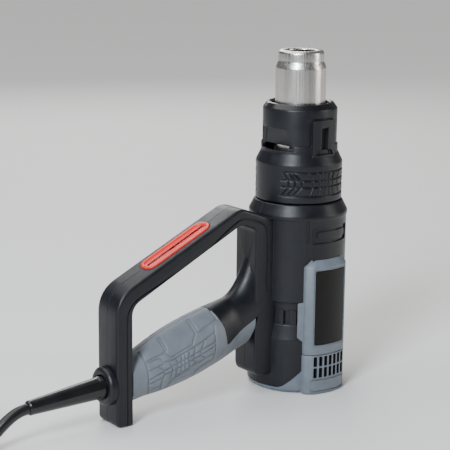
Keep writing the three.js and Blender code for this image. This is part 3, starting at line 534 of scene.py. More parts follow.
# the cord falls to the bench, winds into a loop and ends in the plug
bootTip = -235.8
cordRoute = [
    (-1.2, 25.5), (-7.2, 24.4), (-13.2, 21.7), (-19, 17.6), (-24.6, 13), (-30, 9), (-35, 6.3), (-37, 5.5),
]
cordEnd = bootTip + cordRoute[-1][0]
coilPitch = 8.2
coilOuter = cord["turnRadius"] + coilPitch + 4
coilSideways = cord["turnRadius"] + coilPitch
coilCentre = (cordEnd - math.sqrt(coilOuter ** 2 - (coilSideways - 4) ** 2), coilSideways)
tailRoute = [
    (30, 29.3, 0), (38, 17.8, 0.3), (42, 4.3, 0.8), (41.5, -9.7, 1.6), (37, -21.2, 2.6), (30.5, -29.4, 3.4),
    (24, -32.8, 3.8), (18.4, -33.3, 3.8),
]
coilTop = 1.2 + 2 * coilPitch
tailHeight = coilTop + gap + 4


def smooth(t):
    t = max(0.0, min(1.0, t))
    return (1 - math.cos(math.pi * t)) / 2


def coilPoint(turn):
    # turn is in degrees wound since the cord touched the outer turn
    radius = cord["turnRadius"] + coilPitch
    for start, span, step in ((250, 102, -1), (610, 102, -1), (1190, 100, 1), (1550, 100, 1)):
        radius += step * coilPitch * smooth((turn - start) / span)
    radius -= 9.4 * smooth((turn - 1915) / 92)
    height = cord["restHeight"] + coilPitch * smooth((turn - 880) / 90) + 8.3 * smooth((turn - 1855) / 85)
    angle = math.radians(-90 - turn)
    return (coilCentre[0] + radius * math.cos(angle), coilCentre[1] + radius * math.sin(angle), height)


def buildCord():
    points = [cord["exit"], (-188, 0, 28.1), (-204, 0, 27.3), (-220, 0, 26.4)]
    points += [(bootTip + x, 0, z) for x, z in cordRoute]
    points += [(coilCentre[0] + x, 0, cord["restHeight"]) for x in (20, 12, 5)]
    points += [coilPoint(turn) for turn in range(0, 2008, 12)]
    points += [(coilCentre[0] + x, coilCentre[1] + y, tailHeight + z) for x, y, z in tailRoute]
    curve = bpy.data.curves.new("mainsCord", "CURVE")
    curve.dimensions = "3D"
    curve.bevel_depth = cord["diameter"] / 2 * mm
    curve.bevel_resolution = 5
    curve.use_fill_caps = True
    spline = curve.splines.new("NURBS")
    spline.points.add(len(points) - 1)
    for place, point in zip(spline.points, points):
        place.co = [c * mm for c in point] + [1]
    spline.order_u = 4
    spline.use_endpoint_u = True
    spline.resolution_u = 4
    piece = bpy.data.objects.new("mainsCord", curve)
    scene.collection.objects.link(piece)
    return piece


mainsCord = finishPiece(buildCord(), "cordSheath", "cord_sheath", "cord", "cord_coil", "cord_tail")

# the boot is drawn upright, then laid along the line from the leg to its tip
boot = {"root": 8.2, "tip": 5.4, "length": 64, "drop": 3.4}


def buildBoot(size):
    profile = [(0, 0.6), (size["root"], 0.6), (size["root"], 7.5)]
    slope = (size["tip"] - size["root"]) / (size["length"] - 8)
    profile.append((size["root"] - 0.25, 8.3))
    for k in range(26):
        z = 9 + k * 2.1
        profile.append((size["root"] - 0.3 + slope * (z - 8), z))
    profile += [(size["tip"] - 0.1, 62.6), (size["tip"] - 0.7, 63.7), (4.1, 64), (0, 64)]
    piece = turned("cordBoot", profile, 64)
    lean = math.degrees(math.atan2(size["drop"], size["length"]))
    return standAt(piece, cord["exit"], -90 - lean, "Y")


cordBoot = finishPiece(buildBoot(boot), "glossBlack", "black_rubber", "cord_boot")
cordCollar = turned("cordCollar", [
    (8.5, 0), (14, 0), (14, 2.6), (13.7, 3.6), (13, 4.5), (12, 5.2), (11.4, 5.4), (9.4, 5.4), (8.7, 5.0),
    (8.5, 4.2),
], 80)
standAt(cordCollar, cord["exit"], -90, "Y")
finishPiece(cordCollar, "satinBlack", "black_plastic", "cord_collar")

plug = {
    "length": 48, "width": 47, "neck": 14,
    "place": (coilCentre[0] + 17.7, coilCentre[1] - 33.3, coilTop + gap),
}


def buildPlug(size):
    near, half = -size["neck"], size["width"] / 2
    back = near - size["length"]
    corners = [
        (back, -half + 4, 5), (near - 12, -half, 7), (near, -half + 9, 9), (near, half - 9, 9),
        (near - 12, half, 7), (back, half - 4, 5),
    ]
    rows = [(2.0, 0), (0.9, 0.25), (0.3, 0.9), (0, 2.0), (0, 17.0), (0.3, 18.1), (0.9, 18.75), (2.0, 19)]
    body = topLoft("plugBody", corners, rows)
    stem = turned("stem", [
        (0, -1.5), (6.9, -1.5), (6.9, 2), (6.3, 3), (6.8, 4), (6.1, 5.2), (6.5, 6.2), (5.9, 7.4), (6.2, 8.4),
        (5.6, 9.8), (5.7, 12.5), (5.2, 13.9), (4.2, 14.2), (0, 14.2),
    ], 48)
    standAt(stem, (near, 0, 8.1), 90, "Y")
    grips = []
    for k in range(5):
        x = near - 14 - 4.4 * k
        for side in (-1, 1):
            grips.append(block(x - 1, x + 1, side * (half - 0.7), side * (half + 3), 3.5, 15.5))
    minus(body, *grips)
    plus(body, stem)
    return moved(body, Matrix.Translation(size["place"]))


plugBody = finishPiece(buildPlug(plug), "glossBlack", "black_rubber", "plug_body")


def keepNode(name, material):
    piece = nodes[name]
    piece.data.materials.clear()
    piece.data.materials.append(materials[material])
    return piece


plugPins = [keepNode(name, "brass") for name in ("plug_pin_line", "plug_pin_neutral", "plug_pin_earth")]
cordTie = keepNode("cord_tie", "cordSheath")
print("cord done")

grip = {
    "start": (-157.5, 0, 29.4), "slope": 15.9, "neckFrom": 74, "neckTo": 100, "halfWidth": 18.27,
    "neckHalfWidth": 13.4, "cover": 3.4,
    "profile": [
        (15.4, 0), (16.4, 9), (18.5, 19), (20.3, 31), (21.5, 43), (22, 56), (21.8, 69), (21.3, 83),
        (20.8, 97), (20.8, 114),
    ],
}
gripAxis = Vector((math.cos(math.radians(grip["slope"])), 0, math.sin(math.radians(grip["slope"]))))
gripDown = Vector((gripAxis.z, 0, -gripAxis.x))


def gripRadius(s):
    return np.interp(s, [p[1] for p in grip["profile"]], [p[0] for p in grip["profile"]])


def gripPoint(s, angle, lift, rise=0.0):
    # angle 0 is the top line, 90 the camera side, 180 the finger side; rise lifts only the upper half
    radius = float(gripRadius(s))
    share = max(0.0, min(1.0, (s - grip["neckFrom"]) / (grip["neckTo"] - grip["neckFrom"])))
    share = share * share * (3 - 2 * share)
    half = grip["halfWidth"] + (grip["neckHalfWidth"] - grip["halfWidth"]) * share
    across = (radius + lift) * (half + lift) / (21 + lift)
    a = math.radians(angle)
    height = (radius + lift) * math.cos(a) + rise * max(0.0, math.cos(a))
    place = Vector(grip["start"]) + gripAxis * s - gripDown * height
    return (place.x, -across * math.sin(a), place.z)


def gripSolid(name, lift, start, end, stepLength=2.0, columns=120, rise=None):
    rings = []
    count = max(2, int((end - start) / stepLength))
    for k in range(count + 1):
        s = start + (end - start) * k / count
        up = rise(s) if rise else 0.0
        rings.append([gripPoint(s, 360 * i / columns, lift, up) for i in range(columns)])
    return loft(name, rings)


def neckFlare(s):
    # the neck widens into the root
    return 6.5 * max(0.0, (s - 97) / 15) ** 2


def neckCorners(spare):
    line = [(60, 112), (50.5, 92), (44, 80), (36.5, 71), (31.5, 59.5)]
    return [(rootInner - back - spare, z) for back, z in line] + [
        (rootInner - 29.5 - spare, 47 - spare), (rootInner - 27.5 - spare, 46.4 - spare),
        (rootInner + 2.2, 61.4 - spare), (-25, 61.4 - spare), (-25, 112),
    ]


def webCorners(spare):
    line = [(7.5, 34), (2.5, 44), (-2.2, 61), (-2.2, 100)]
    return [(legInner + spare, 0), (rootInner - 20.5, 0)] + [
        (rootInner - back - spare, z) for back, z in line
    ] + [(legInner + spare, 100)]


def slab(corners):
    return sideLoft("slab", corners, [(0, -far), (0, far)])


guard = {
    "corners": [
        (legInner, 0), (legInner, 86.5, 12), (-63, 132.5, 9), (rootInner, 127.5, 5), (rootInner, 13.5, 8),
        (-25, 13.5), (-25, 130), (-64, 145.2, 16), (legOuter, 95, 24), (legOuter, 0, 5),
    ],
    "edge": [(2.2, 13), (1.35, 12.8), (0.6, 12.25), (0.15, 11.5), (0, 10.6)],
    "groove": [
        (-163.2, 10), (-163.2, 60), (-163, 79.5), (-162, 83.5), (-158, 89.5), (-151, 93.5), (-139, 98.5),
        (-115, 108.5), (-103, 114.5), (-90, 120.5), (-81, 127.5), (-73, 132.5), (-66, 136.4), (-62, 137.0),
        (-57, 136.0), (-46, 132.5), (-42, 130.2), (-39.4, 126), (-38.6, 119), (-38.6, 74), (-40, 68),
        (-47, 61.5),
    ],
}


def sweep(name, path, y, radius, sides=10):
    # a thin round bar through points in the XZ plane, for cutting grooves
    rings = []
    for i, (x, z) in enumerate(path):
        before = path[max(0, i - 1)]
        after = path[min(len(path) - 1, i + 1)]
        along = Vector((after[0] - before[0], after[1] - before[1])).normalized()
        rings.append([
            (x - along.y * radius * math.cos(t), y + radius * math.sin(t), z + along.x * radius * math.cos(t))
            for t in (2 * math.pi * k / sides for k in range(sides))
        ])
    return loft(name, rings)


def rounded(path):
    for _ in range(2):
        finer = [path[0]]
        for a, b in zip(path, path[1:]):
            finer.append((a[0] * 0.75 + b[0] * 0.25, a[1] * 0.75 + b[1] * 0.25))
            finer.append((a[0] * 0.25 + b[0] * 0.75, a[1] * 0.25 + b[1] * 0.75))
        finer.append(path[-1])
        path = finer
    return path


def sector(r0, r1, a0, a1, z0, z1, steps=16, round=0.0):
    # a curved block round the barrel, angles in degrees
    rings = []
    for k in range(steps + 1):
        a = math.radians(a0 + (a1 - a0) * k / steps)
        drop = 0.0
        if round > 0:
            away = min(k, steps - k) / steps * abs(math.radians(a1 - a0)) * r1
            if away < round:
                drop = round - math.sqrt(max(0, round * round - (round - away) ** 2))
        rings.append([
            (r * math.cos(a), r * math.sin(a), z)
            for r, z in ((r0, z0 + drop), (r1, z0 + drop), (r1, z1 - drop), (r0, z1 - drop))
        ])
    return loft("sector", rings)


def buildGuard():
    edge = guard["edge"]
    rows = [(i, -y) for i, y in edge] + [(0, 0)] + [(i, y) for i, y in reversed(edge)]
    body = sideLoft("guard", guard["corners"], rows, steps=12)
    path = rounded(guard["groove"])
    inside = path + [(-70, 55), (-120, 60), (-140, 20), (-150, -5), (-163.2, -5)]
    tools = []
    for side in (-1, 1):
        tools.append(sideLoft("lowered", inside, sorted([(0, side * 12.45), (0, side * 20)])))
        tools.append(sweep("groove", [(-163.2, -5)] + path, side * 12.6, 0.85))
    return minus(body, *tools)


def screwPlace(node):
    # middle of a screw's head, on its outer face
    low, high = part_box(node)
    return ((low.x + high.x) / 2 / mm, high.y / mm, (low.z + high.z) / 2 / mm)


def buildShells():
    body = buildGuard()
    outline = [
        (0, 4), (35.3, 4), (35.9, 4.25), (36.35, 4.9), (36.6, 5.8), (36.6, 42), (36.4, 42.7), (34.5, 52.4),
        (34.1, 53), (33.4, 53), (33.4, 70), (34.2, 70.1), (36.2, 70.5), (36.6, 71.0), (36.6, 132.6),
        (36.75, 133.0), (37.1, 133.4), (37.2, 133.9), (37.2, 135.6), (36.95, 136.4), (33.3, 143.5),
        (32.7, 144), (0, 144),
    ]
    body = plus(body, turned("barrel", outline, 192))
    neck = gripSolid("neck", 0, 40, 128, 1.0, rise=neckFlare)
    neck = within(neck, slab(neckCorners(0)), block(-110, 0, -18.7, 18.7, 20, 112))
    flank = [block(-62, 0, side * 12.95, side * 40, 20, 120) for side in (-1, 1)]
    neck = minus(neck, *flank)
    core = gripSolid("core", -grip["cover"], -6, 113)
    sleeveSpace = minus(within(gripSolid("space", gap, -5, 121), slab(webCorners(0))), slab(neckCorners(0)))
    body = minus(body, sleeveSpace)
    body = plus(body, neck, core)
    # waist ribs and slots, and a framed bar near the shoulder, the same on both sides of the handle
    ribs, bars, deep, facets = [], [], [], []
    for side in (-1, 1):
        for a0, a1 in ((151.9, 145.8), (138.2, 129.3)):
            ribs.append(sector(32.0, 34.6, side * a0, side * a1, 52.9, 64.2, 8))
        for a0, a1 in ((145.2, 138.8), (128.7, 127.0)):
            deep.append(sector(31.2, 36.0, side * a0, side * a1, 53.2, 63.8, 8))
        facets.append(sector(35.35, 38, side * 113.3, side * 53, 115.4, 127.2, 28, 1.6))
        bars.append(sector(34.0, 36.45, side * 106.6, side * 59, 118.8, 124.2, 48, 2.5))
        facets.append(sector(36.0, 38, side * 120.6, side * 116.4, 117.2, 133.0, 6))
    body = minus(body, *facets)
    body = plus(body, *bars)
    body = plus(body, *ribs)
    body = minus(body, *deep)
    # hollows
    hollow = sideLoft("hollow", insetCorners(guard["corners"], wall), [(0, -10.4), (0, 10.4)])
    bore = turned("bore", [
        (0, -1), (34, -1), (34, 41.5), (30.8, 50), (30.8, 72.5), (34, 73.1), (34, 133), (29.5, 140),
        (29.5, 145), (0, 145),
    ], 96)
    inner = gripSolid("inner", -grip["cover"] - wall, -6, 133, 3, 64)
    body = minus(body, hollow, bore, inner)
    # openings for the cord, the inlay, the switch and the rear cap
    hole = drum("hole", cord["diameter"] / 2 + gap, -8, 8, 40)
    standAt(hole, (legOuter, 0, cord["exit"][2]), 90, "Y")
    pocket = topLoft("pocket", inlayCorners(gap), [(0, -2.5), (0, 6)])
    moved(pocket, inlayPlace())
    floor = block(-31, 31, -9.5, 9.5, -4.2, -2.5)
    moved(floor, inlayPlace())
    body = plus(body, within(floor, block(-165, -60, -11, 11, 80, 150)))
    body = minus(body, hole, pocket, gripBlock(12, 40, 2.1, 67.9, 80.1), capZone(0))
    for node in screwNodes:
        x, top, z = screwPlace(node)
        seat = standAt(drum("seat", 3.3, 0, 30, 28), (x, top - 2.1, z), -90, "X")
        post = standAt(drum("post", 3.6, 0, 17, 24), (x, top - 2.0, z), 90, "X")
        shank = standAt(drum("shank", 1.7, -1, 16.5, 24), (x, top - 2.0, z), 90, "X")
        body = minus(plus(body, post), seat, shank)
    return halves(body, "shell", 0.12)


# the inlay lies in the middle of the guard's slanted bar
barTop, barFoot = (-64, 145.2), (legOuter, 95)
inlay = {"length": 60.7, "width": 16, "slope": math.atan2(barTop[1] - barFoot[1], barTop[0] - barFoot[0])}


def inlayPlace():
    x = (barFoot[0] + barTop[0]) / 2 + 4.25
    z = barFoot[1] + (x - barFoot[0]) * math.tan(inlay["slope"])
    return Matrix.Translation((x, 0, z)) @ Matrix.Rotation(-inlay["slope"], 4, "Y")


def inlayCorners(grow):
    a, b = inlay["length"] / 2 + grow, inlay["width"] / 2 + grow
    return [(-a, -b, b - 0.05), (a, -b, b - 0.05), (a, b, b - 0.05), (-a, b, b - 0.05)]


def gripBlock(depth0, depth1, half, s0, s1):
    # a block in the grip's own frame: depth is measured down from the axis
    rings = []
    for s in (s0, s1):
        ring = []
        for depth, y in ((depth0, -half), (depth0, half), (depth1, half), (depth1, -half)):
            place = Vector(grip["start"]) + gripAxis * s + gripDown * depth
            ring.append((place.x, y, place.z))
        rings.append(ring)
    return loft("gripBlock", rings)


def capZone(spare):
    return slab([
        (-60, -1), (60, -1), (60, 4 - spare), (31, 4 - spare), (19.5 - spare, 18 - spare),
        (19.5 - spare, 31 - spare), (-19.5 + spare, 31 - spare), (-19.5 + spare, 18 - spare),
        (-31, 4 - spare), (-60, 4 - spare),
    ])


def creaseRings(piece, heights):
    # keeps the turned edges of the barrel crisp
    for edge in piece.data.edges:
        a, b = (piece.data.vertices[k].co for k in edge.vertices)
        level = abs(a.z - b.z) < 2e-5 and any(abs(a.z - h * mm) < 2e-5 for h in heights)
        if level and a.x > -0.037 and math.hypot(a.x, a.y) > 0.033:
            edge.use_edge_sharp = True


screwNodes = sorted(name for name in nodes if name.startswith("screw_"))
for side, half in zip(("left", "right"), buildShells()):
    creaseRings(half, (42.0, 52.4, 136.4, 143.5))
    finishPiece(half, "satinBlack", "black_plastic", "shell_" + side)
print("shells done")

inlayPiece = topLoft("guardInlay", inlayCorners(0), [
    (0.2, -2.2), (0, -1.9), (0, 0.25), (0.12, 0.5), (0.4, 0.72), (0.8, 0.8), (1.9, 0.8), (2.25, 0.72),
    (2.5, 0.5), (2.65, 0.15), (2.9, -0.05), (3.3, -0.1),
], steps=14)
moved(inlayPiece, inlayPlace())
finishPiece(inlayPiece, "redInlay", "red_plastic", "guard_inlay")

sleeve = {
    "depth": 1.0, "halfWidth": 0.56,
    # lines of the pattern: (length along the grip, degrees round from the top)
    "lines": [
        [(14.8, 16), (14.4, 48), (13.4, 64), (12.7, 75), (11.4, 92), (10.4, 113), (10.1, 141), (8.2, 155),
         (7.5, 180)],
        [(15.0, 48), (28.6, 52.4), (30.9, 48), (31.6, 12)],
        [(33.4, 12), (32.4, 48), (30.2, 54), (32.6, 68), (51.5, 66), (57.7, 49), (59.4, 12)],
        [(61.2, 12), (60, 50), (79, 43), (78.7, 24), (80.7, 8)],
        [(14.2, 53), (24, 57), (25.4, 64), (26.4, 71.8), (31.6, 71.7)],
        [(13, 73), (25, 73)], [(12, 93.8), (24.3, 89), (31, 86.7), (45.7, 86), (69.2, 84)],
        [(11.6, 105.7), (22.3, 102.3), (24.4, 97.5), (34.4, 97), (44.8, 95), (67.2, 92)],
        [(11.6, 128), (20.5, 121)], [(10.5, 146), (21, 139)], [(31.4, 113.5), (43.8, 107), (65.5, 105)],
        [(21.8, 76.4), (24.6, 87.3), (24.4, 97.5), (20.1, 115.7), (20.1, 136.6)],
        [(30.2, 76), (31.2, 86), (30.4, 98.8), (27.4, 111)],
        [(35.9, 74.4), (35.9, 86), (34.8, 96.6), (32.7, 108)],
        [(40.3, 75), (38.9, 89), (37, 107)], [(43.5, 74), (42, 87), (40.4, 104)],
        [(47.7, 74), (45.7, 83.6), (45, 89.4), (44.2, 104.5)],
        [(53.5, 73.5), (50.7, 83.3), (48.8, 96.2), (50.4, 106.7)],
        [(61.3, 73), (58.1, 81), (56.2, 85), (55.9, 94), (58.4, 104.6)],
        [(22.7, 156), (28.2, 118), (44.3, 112.5)],
        [(47.3, 141), (48.7, 133), (49.5, 122.5), (54.8, 120), (65.3, 117.6), (67.3, 107.7), (69.1, 93.7),
         (71, 76), (74, 55)],
        [(30.5, 75), (53, 72), (62, 70), (72, 66)],
    ],
}


def lineDepth(u, v, lines, halfWidth, depth):
    # how deep the surface lies at (u, v), arrays in millimetres
    nearest = np.full(u.shape, 1e9)
    for line in lines:
        for (u0, v0), (u1, v1) in zip(line, line[1:]):
            du, dv = u1 - u0, v1 - v0
            share = np.clip(((u - u0) * du + (v - v0) * dv) / (du * du + dv * dv), 0, 1)
            away = np.hypot(u - u0 - share * du, v - v0 - share * dv)
            nearest = np.minimum(nearest, away)
    return depth * np.exp(-(nearest / halfWidth) ** 2.4)


def buildSleeve():
    columns = 264
    lengths = np.arange(-4.6, 112.0, 0.45)
    angles = np.arange(columns) * 360 / columns
    folded = np.where(angles > 180, 360 - angles, angles)
    reach = np.radians(1) * 19.5
    lines = [[(s, a * reach) for s, a in line] for line in sleeve["lines"]]
    u, v = np.meshgrid(lengths, folded * reach, indexing="ij")
    sunk = lineDepth(u, v, lines, sleeve["halfWidth"], sleeve["depth"])
    ridge = np.minimum(folded, 360 - folded) * reach
    sunk += 0.35 * np.exp(-(np.broadcast_to(ridge, u.shape) / 0.5) ** 2)
    rings = []
    for row, s in enumerate(lengths):
        rings.append([gripPoint(s, angles[i], -sunk[row, i]) for i in range(columns)])
    rings += [[gripPoint(s, a, -3.1) for a in angles] for s in np.arange(111.5, -4.8, -5.0)]
    body = loft("sleeve", rings, closed=True)
    body = within(body, slab(webCorners(gap)))
    root = block(rootInner - gap, 0, -13.3, 13.3, 0, 120)
    window = gripBlock(18, 40, 5.1, 62.4, 85.6)
    body = minus(body, slab(neckCorners(gap)), root, window)
    return halves(body, "sleeve", 0.1)


for side, half in zip(("left", "right"), buildSleeve()):
    shade(half, 60)  # the lines of the pattern stay soft
    finishPiece(half, "greyGrip", "grey_rubber", "grip_sleeve_" + side)
print("grip done")

pad = {
    "radius": 41.4, "half": 19.5, "crown": 15.5, "root": 33.2, "tabHalf": 22.8, "tabLow": 44, "tabHigh": 70.7,
    "labelLow": 38.5, "labelHigh": 96,
}


def padRing(inset, z, steps=28):
    # the pad's section: flat flanks, bevelled shoulders and a crown round the barrel's axis
    half, crown = pad["half"] - inset, pad["crown"] - inset * 0.8
    r = pad["radius"] - inset
    points = [(-half, -24), (-half, -pad["root"] - 0.2), (-half + 0.25, -pad["root"] - 1.0)]
    edge = math.acos(crown / r)
    shoulder = 0.75 - r * math.sin(edge)
    points.append((-crown - 0.55, shoulder))
    for k in range(steps + 1):
        a = math.pi + edge + 0.012 + (math.pi - 2 * edge - 0.024) * k / steps
        points.append((r * math.cos(a), r * math.sin(a)))
    points += [
        (crown + 0.55, shoulder), (half - 0.25, -pad["root"] - 1.0), (half, -pad["root"] - 0.2), (half, -24),
    ]
    return [(x, y, z) for x, y in points]


def roundedBox(half, z0, z1, radius, name="roundedBox", x=0):
    # a rounded outline carried through the front half of the barrel
    corners = [(x - half, z0, radius), (x + half, z0, radius), (x + half, z1, radius), (x - half, z1, radius)]
    return sideLoft(name, corners, [(0, -far), (0, -20)])


def buildSideFrame():
    rows = [
        (0.35, 31.15), (0.1, 31.4), (0, 31.8), (0, 98.2), (0.5, 99.0), (1.6, 100.0), (3.0, 101.4),
        (4.2, 102.8), (4.6, 103.4), (5.2, 103.8),
    ]
    body = loft("sideFrame", [padRing(inset, z) for inset, z in rows])
    tab = sideLoft("tab", [
        (-pad["half"], pad["tabLow"] - 3, 1), (pad["half"], pad["tabLow"] - 3, 1),
        (pad["tabHalf"], pad["tabLow"], 1), (pad["tabHalf"], pad["tabHigh"], 1.2),
        (pad["half"] - 2, pad["tabHigh"] + 1, 1), (-pad["half"] + 2, pad["tabHigh"] + 1, 1),
        (-pad["tabHalf"], pad["tabHigh"], 1.2), (-pad["tabHalf"], pad["tabLow"], 1),
    ], [(0, -far), (0, -20)])
    round = turned("round", [(0, 36), (37.0, 36), (37.2, 36.3), (37.2, 76), (0, 76)], 160)
    body = plus(body, within(tab, round))
    seat = roundedBox(14, pad["labelLow"], pad["labelHigh"], 1.6)
    seat = minus(seat, drum("floor", 40.2, 0, 120))
    # the seat's bevelled border
    border = roundedBox(15, pad["labelLow"] - 1.0, pad["labelHigh"] + 1.0, 2.4)
    border = minus(border, drum("skin", 41.05, 0, 120))
    body = minus(body, seat, border, drum("inner", 36.85, 0, 120))
    return body


def buildLabel():
    plate = roundedBox(13.6, pad["labelLow"] + 0.4, pad["labelHigh"] - 0.4, 1.5, "labelPlate")
    skin = turned("skin", [(40.3, 36), (40.85, 36), (40.85, 99), (40.3, 99)], 200)
    return within(plate, skin)


for side, degrees in (("left", 0), ("right", 180)):
    sideFrame = standAt(buildSideFrame(), (0, 0, 0), degrees, "Z")
    label = standAt(buildLabel(), (0, 0, 0), degrees, "Z")
    sideFrame.name = "sideFrame." + side
    label.name = "labelPlate." + side
    finishPiece(sideFrame, "greyPanel", "grey_plastic", "side_frame_" + side)
    finishPiece(label, "darkLabel", "label_foil", "label_plate_" + side)

cap = {"columns": 7, "pitch": 4.3, "half": 1.3, "rows": [(13.3, 20.9), (22.1, 29.7)]}


def ventSlots():
    # the middle, foot and top of each vent slot
    for column in range(cap["columns"]):
        for z0, z1 in cap["rows"]:
            yield (column - (cap["columns"] - 1) / 2) * cap["pitch"], z0, z1


def buildRearCap():
    base = turned("rearCap", [
        (0, 0), (33.6, 0), (34.5, 0.25), (35.0, 0.8), (35.2, 1.6), (35.2, 3.2), (33.6, 3.2), (33.6, 12),
        (31.5, 12), (31.5, 3.2), (0, 3.2),
    ], 160)
    skin = turned("skin", [(32.7, 2.0), (36.2, 2.0), (36.6, 2.8), (36.6, 30.7), (32.7, 30.7)], 160)
    body = plus(base, within(skin, capZone(gap)))
    pads = []
    for degrees in (0, 180):
        piece = loft("pad", [padRing(inset, z) for inset, z in (
            (1.4, 0.02), (0.6, 0.3), (0.2, 0.8), (0, 1.6), (0, 30.0), (0.15, 30.4), (0.45, 30.65),
        )])
        # a rounded bar stands in a shallow rounded well at the foot
        well = roundedBox(16.6, 1.9, 12.2, 3.2)
        bar = roundedBox(15.2, 3.2, 10.9, 2.4)
        well = minus(well, drum("floor", 40.6, 0, 120), bar)
        piece = minus(piece, well)
        for x, z0, z1 in ventSlots():
            piece = minus(piece, roundedBox(cap["half"], z0, z1, 0.5, x=x))
        standAt(piece, (0, 0, 0), degrees, "Z")
        pads.append(minus(piece, drum("hollow", 33.1, 3.2, far)))
    body = plus(body, *pads)
    half = cap["half"]
    return minus(body, *[block(x - half, x + half, -39, 39, z0 + 0.3, z1 - 0.3) for x, z0, z1 in ventSlots()])


rearCap = finishPiece(buildRearCap(), "greyPanel", "grey_plastic", "rear_cap")
print("frames, labels and cap done")


def darken(piece, material, chosen):
    # a second material on the faces that the test picks, by their centre in millimetres: a glossier finish on
    # the shroud's rim, painted shade on the walls of the vent slots and of the shroud's slots
    piece.data.materials.append(materials[material])
    for face in piece.data.polygons:
        centre = face.center / mm
        if chosen(centre, face.normal):
            face.material_index = len(piece.data.materials) - 1


def inVentPaintedShade(centre, normal):
    # the walls of the vent slots, behind the outer face; they take the near-black material as painted shade
    deep = abs(centre.y) > 25 and centre.xy.length < 41.25 and abs(centre.x) < 15
    level = any(z0 - 0.1 < centre.z < z1 + 0.1 for z0, z1 in cap["rows"])
    return deep and level and abs(normal.y) < 0.6


# the grey walls of the vent slots are painted near-black: painted shade
darken(rearCap, "deepBlack", inVentPaintedShade)

collar = {
    "radius": 32.5, "depth": 0.9, "halfWidth": 0.55, "middle": 90.8,
    # lines of the tread: (height, degrees from the middle of the side)
    "lines": [
        [(167.4, 45.5), (166.7, 43.6), (162.2, 35.4)], [(167.7, 27), (162.6, 20.7)],
        [(168, 13.4), (162.6, 10.1)],
        [(167.9, 4), (162.5, 2.4)], [(162.2, 35.3), (157.4, 35.3)], [(162.4, 20.6), (157, 20.6)],
        [(162.4, 10.6), (157, 10.6)], [(162.4, 2.9), (157, 2.9)], [(150.8, 47.9), (157.2, 35.8)],
        [(151.3, 25.2), (156.2, 21.6)], [(151.2, 12), (156.7, 9.8)], [(151.1, 4.4), (156.3, 3.4)],
        [(157.3, 62), (157.3, 0)], [(162.3, 62), (162.3, 0)], [(168.2, 60), (168.2, 0)],
        [(150.6, 60), (150.6, 0)], [(168.2, 52), (162.3, 44), (157.3, 44), (150.6, 56)],
        [(168.2, 60), (162.3, 53), (157.3, 53), (150.6, 64)],
    ],
}


def buildCollar():
    columns = 480
    reach = math.radians(collar["radius"])
    heights = list(np.arange(146.4, 172.4, 0.4))
    angles = np.arange(columns) * 360 / columns
    away = np.abs((angles - 360 + collar["middle"] + 180) % 180)
    away = np.minimum(away, 180 - away)
    u, v = np.meshgrid(heights, away * reach, indexing="ij")
    lines = [[(z, a * reach) for z, a in line] for line in collar["lines"]]
    sunk = lineDepth(u, v, lines, collar["halfWidth"], collar["depth"])

    def ring(radius, z, drop=np.zeros(columns)):
        turns = [math.radians(a) for a in angles]
        return [((radius - d) * math.cos(a), (radius - d) * math.sin(a), z) for d, a in zip(drop, turns)]

    rings = [ring(r, z) for r, z in ((31.6, 144.85), (32.1, 145.0), (32.4, 145.4), (32.5, 146.0))]
    rings += [ring(collar["radius"], z, sunk[k]) for k, z in enumerate(heights)]
    upper = [
        (32.5, 172.8), (32.4, 173.3), (32.15, 173.9), (29.3, 179.6), (28.95, 180.4), (28.7, 181.2),
        (28.7, 186.4), (28.5, 186.9), (28.1, 187.0), (28.1, 150.0), (22.0, 150.0), (22.0, 138.2),
        (29.0, 138.2), (29.0, 144.85),
    ]
    rings += [ring(r, z) for r, z in upper]
    body = loft("noseCollar", rings, closed=True, sharp=50)
    # lugs that hold the shroud, with a slot that opens into a funnel
    lug = turned("lug", [(28.1, 179), (29.9, 179), (29.9, 206.2), (28.1, 206.2)], 200)
    lugShape = sideLoft("lugShape", [
        (-10.5, 172), (10.5, 172), (10.5, 206, 2.4), (-10.5, 206, 2.4),
    ], [(0, -far), (0, far)])
    body = plus(body, within(lug, lugShape))
    gaps = [block(-far, far, -19.2, 19.2, 183.0, 190)]
    for side in (-1, 1):
        gaps.append(block(-3, 3, side * 20, side * far, 183.3, 200))
        gaps.append(loft("funnel", [
            [(x, side * 28.7, z) for x, z in ((-3, 182.2), (3, 182.2), (3, 200), (-3, 200))],
            [(x, side * 31.0, z) for x, z in ((-7.2, 180.2), (7.2, 180.2), (4.6, 203.4), (-4.6, 203.4))],
        ]))
        gaps.append(loft("lip", [
            [(x, side * 27.6, z) for x, z in ((-6.2, 183.4), (6.2, 183.4), (8.6, 179.6), (-8.6, 179.6))],
            [(x, side * 34, z) for x, z in ((-6.2, 186.4), (6.2, 186.4), (8.6, 182.6), (-8.6, 182.6))],
        ]))
    body = minus(body, *gaps)
    shade(body, 50)
    return body


noseCollar = finishPiece(buildCollar(), "satinBlack", "black_plastic", "nose_collar")

# each scoop's floor slants: (foot and top, across the barrel)
scoop = {"low": 21.4, "high": 23.7, "plate": 1.4}


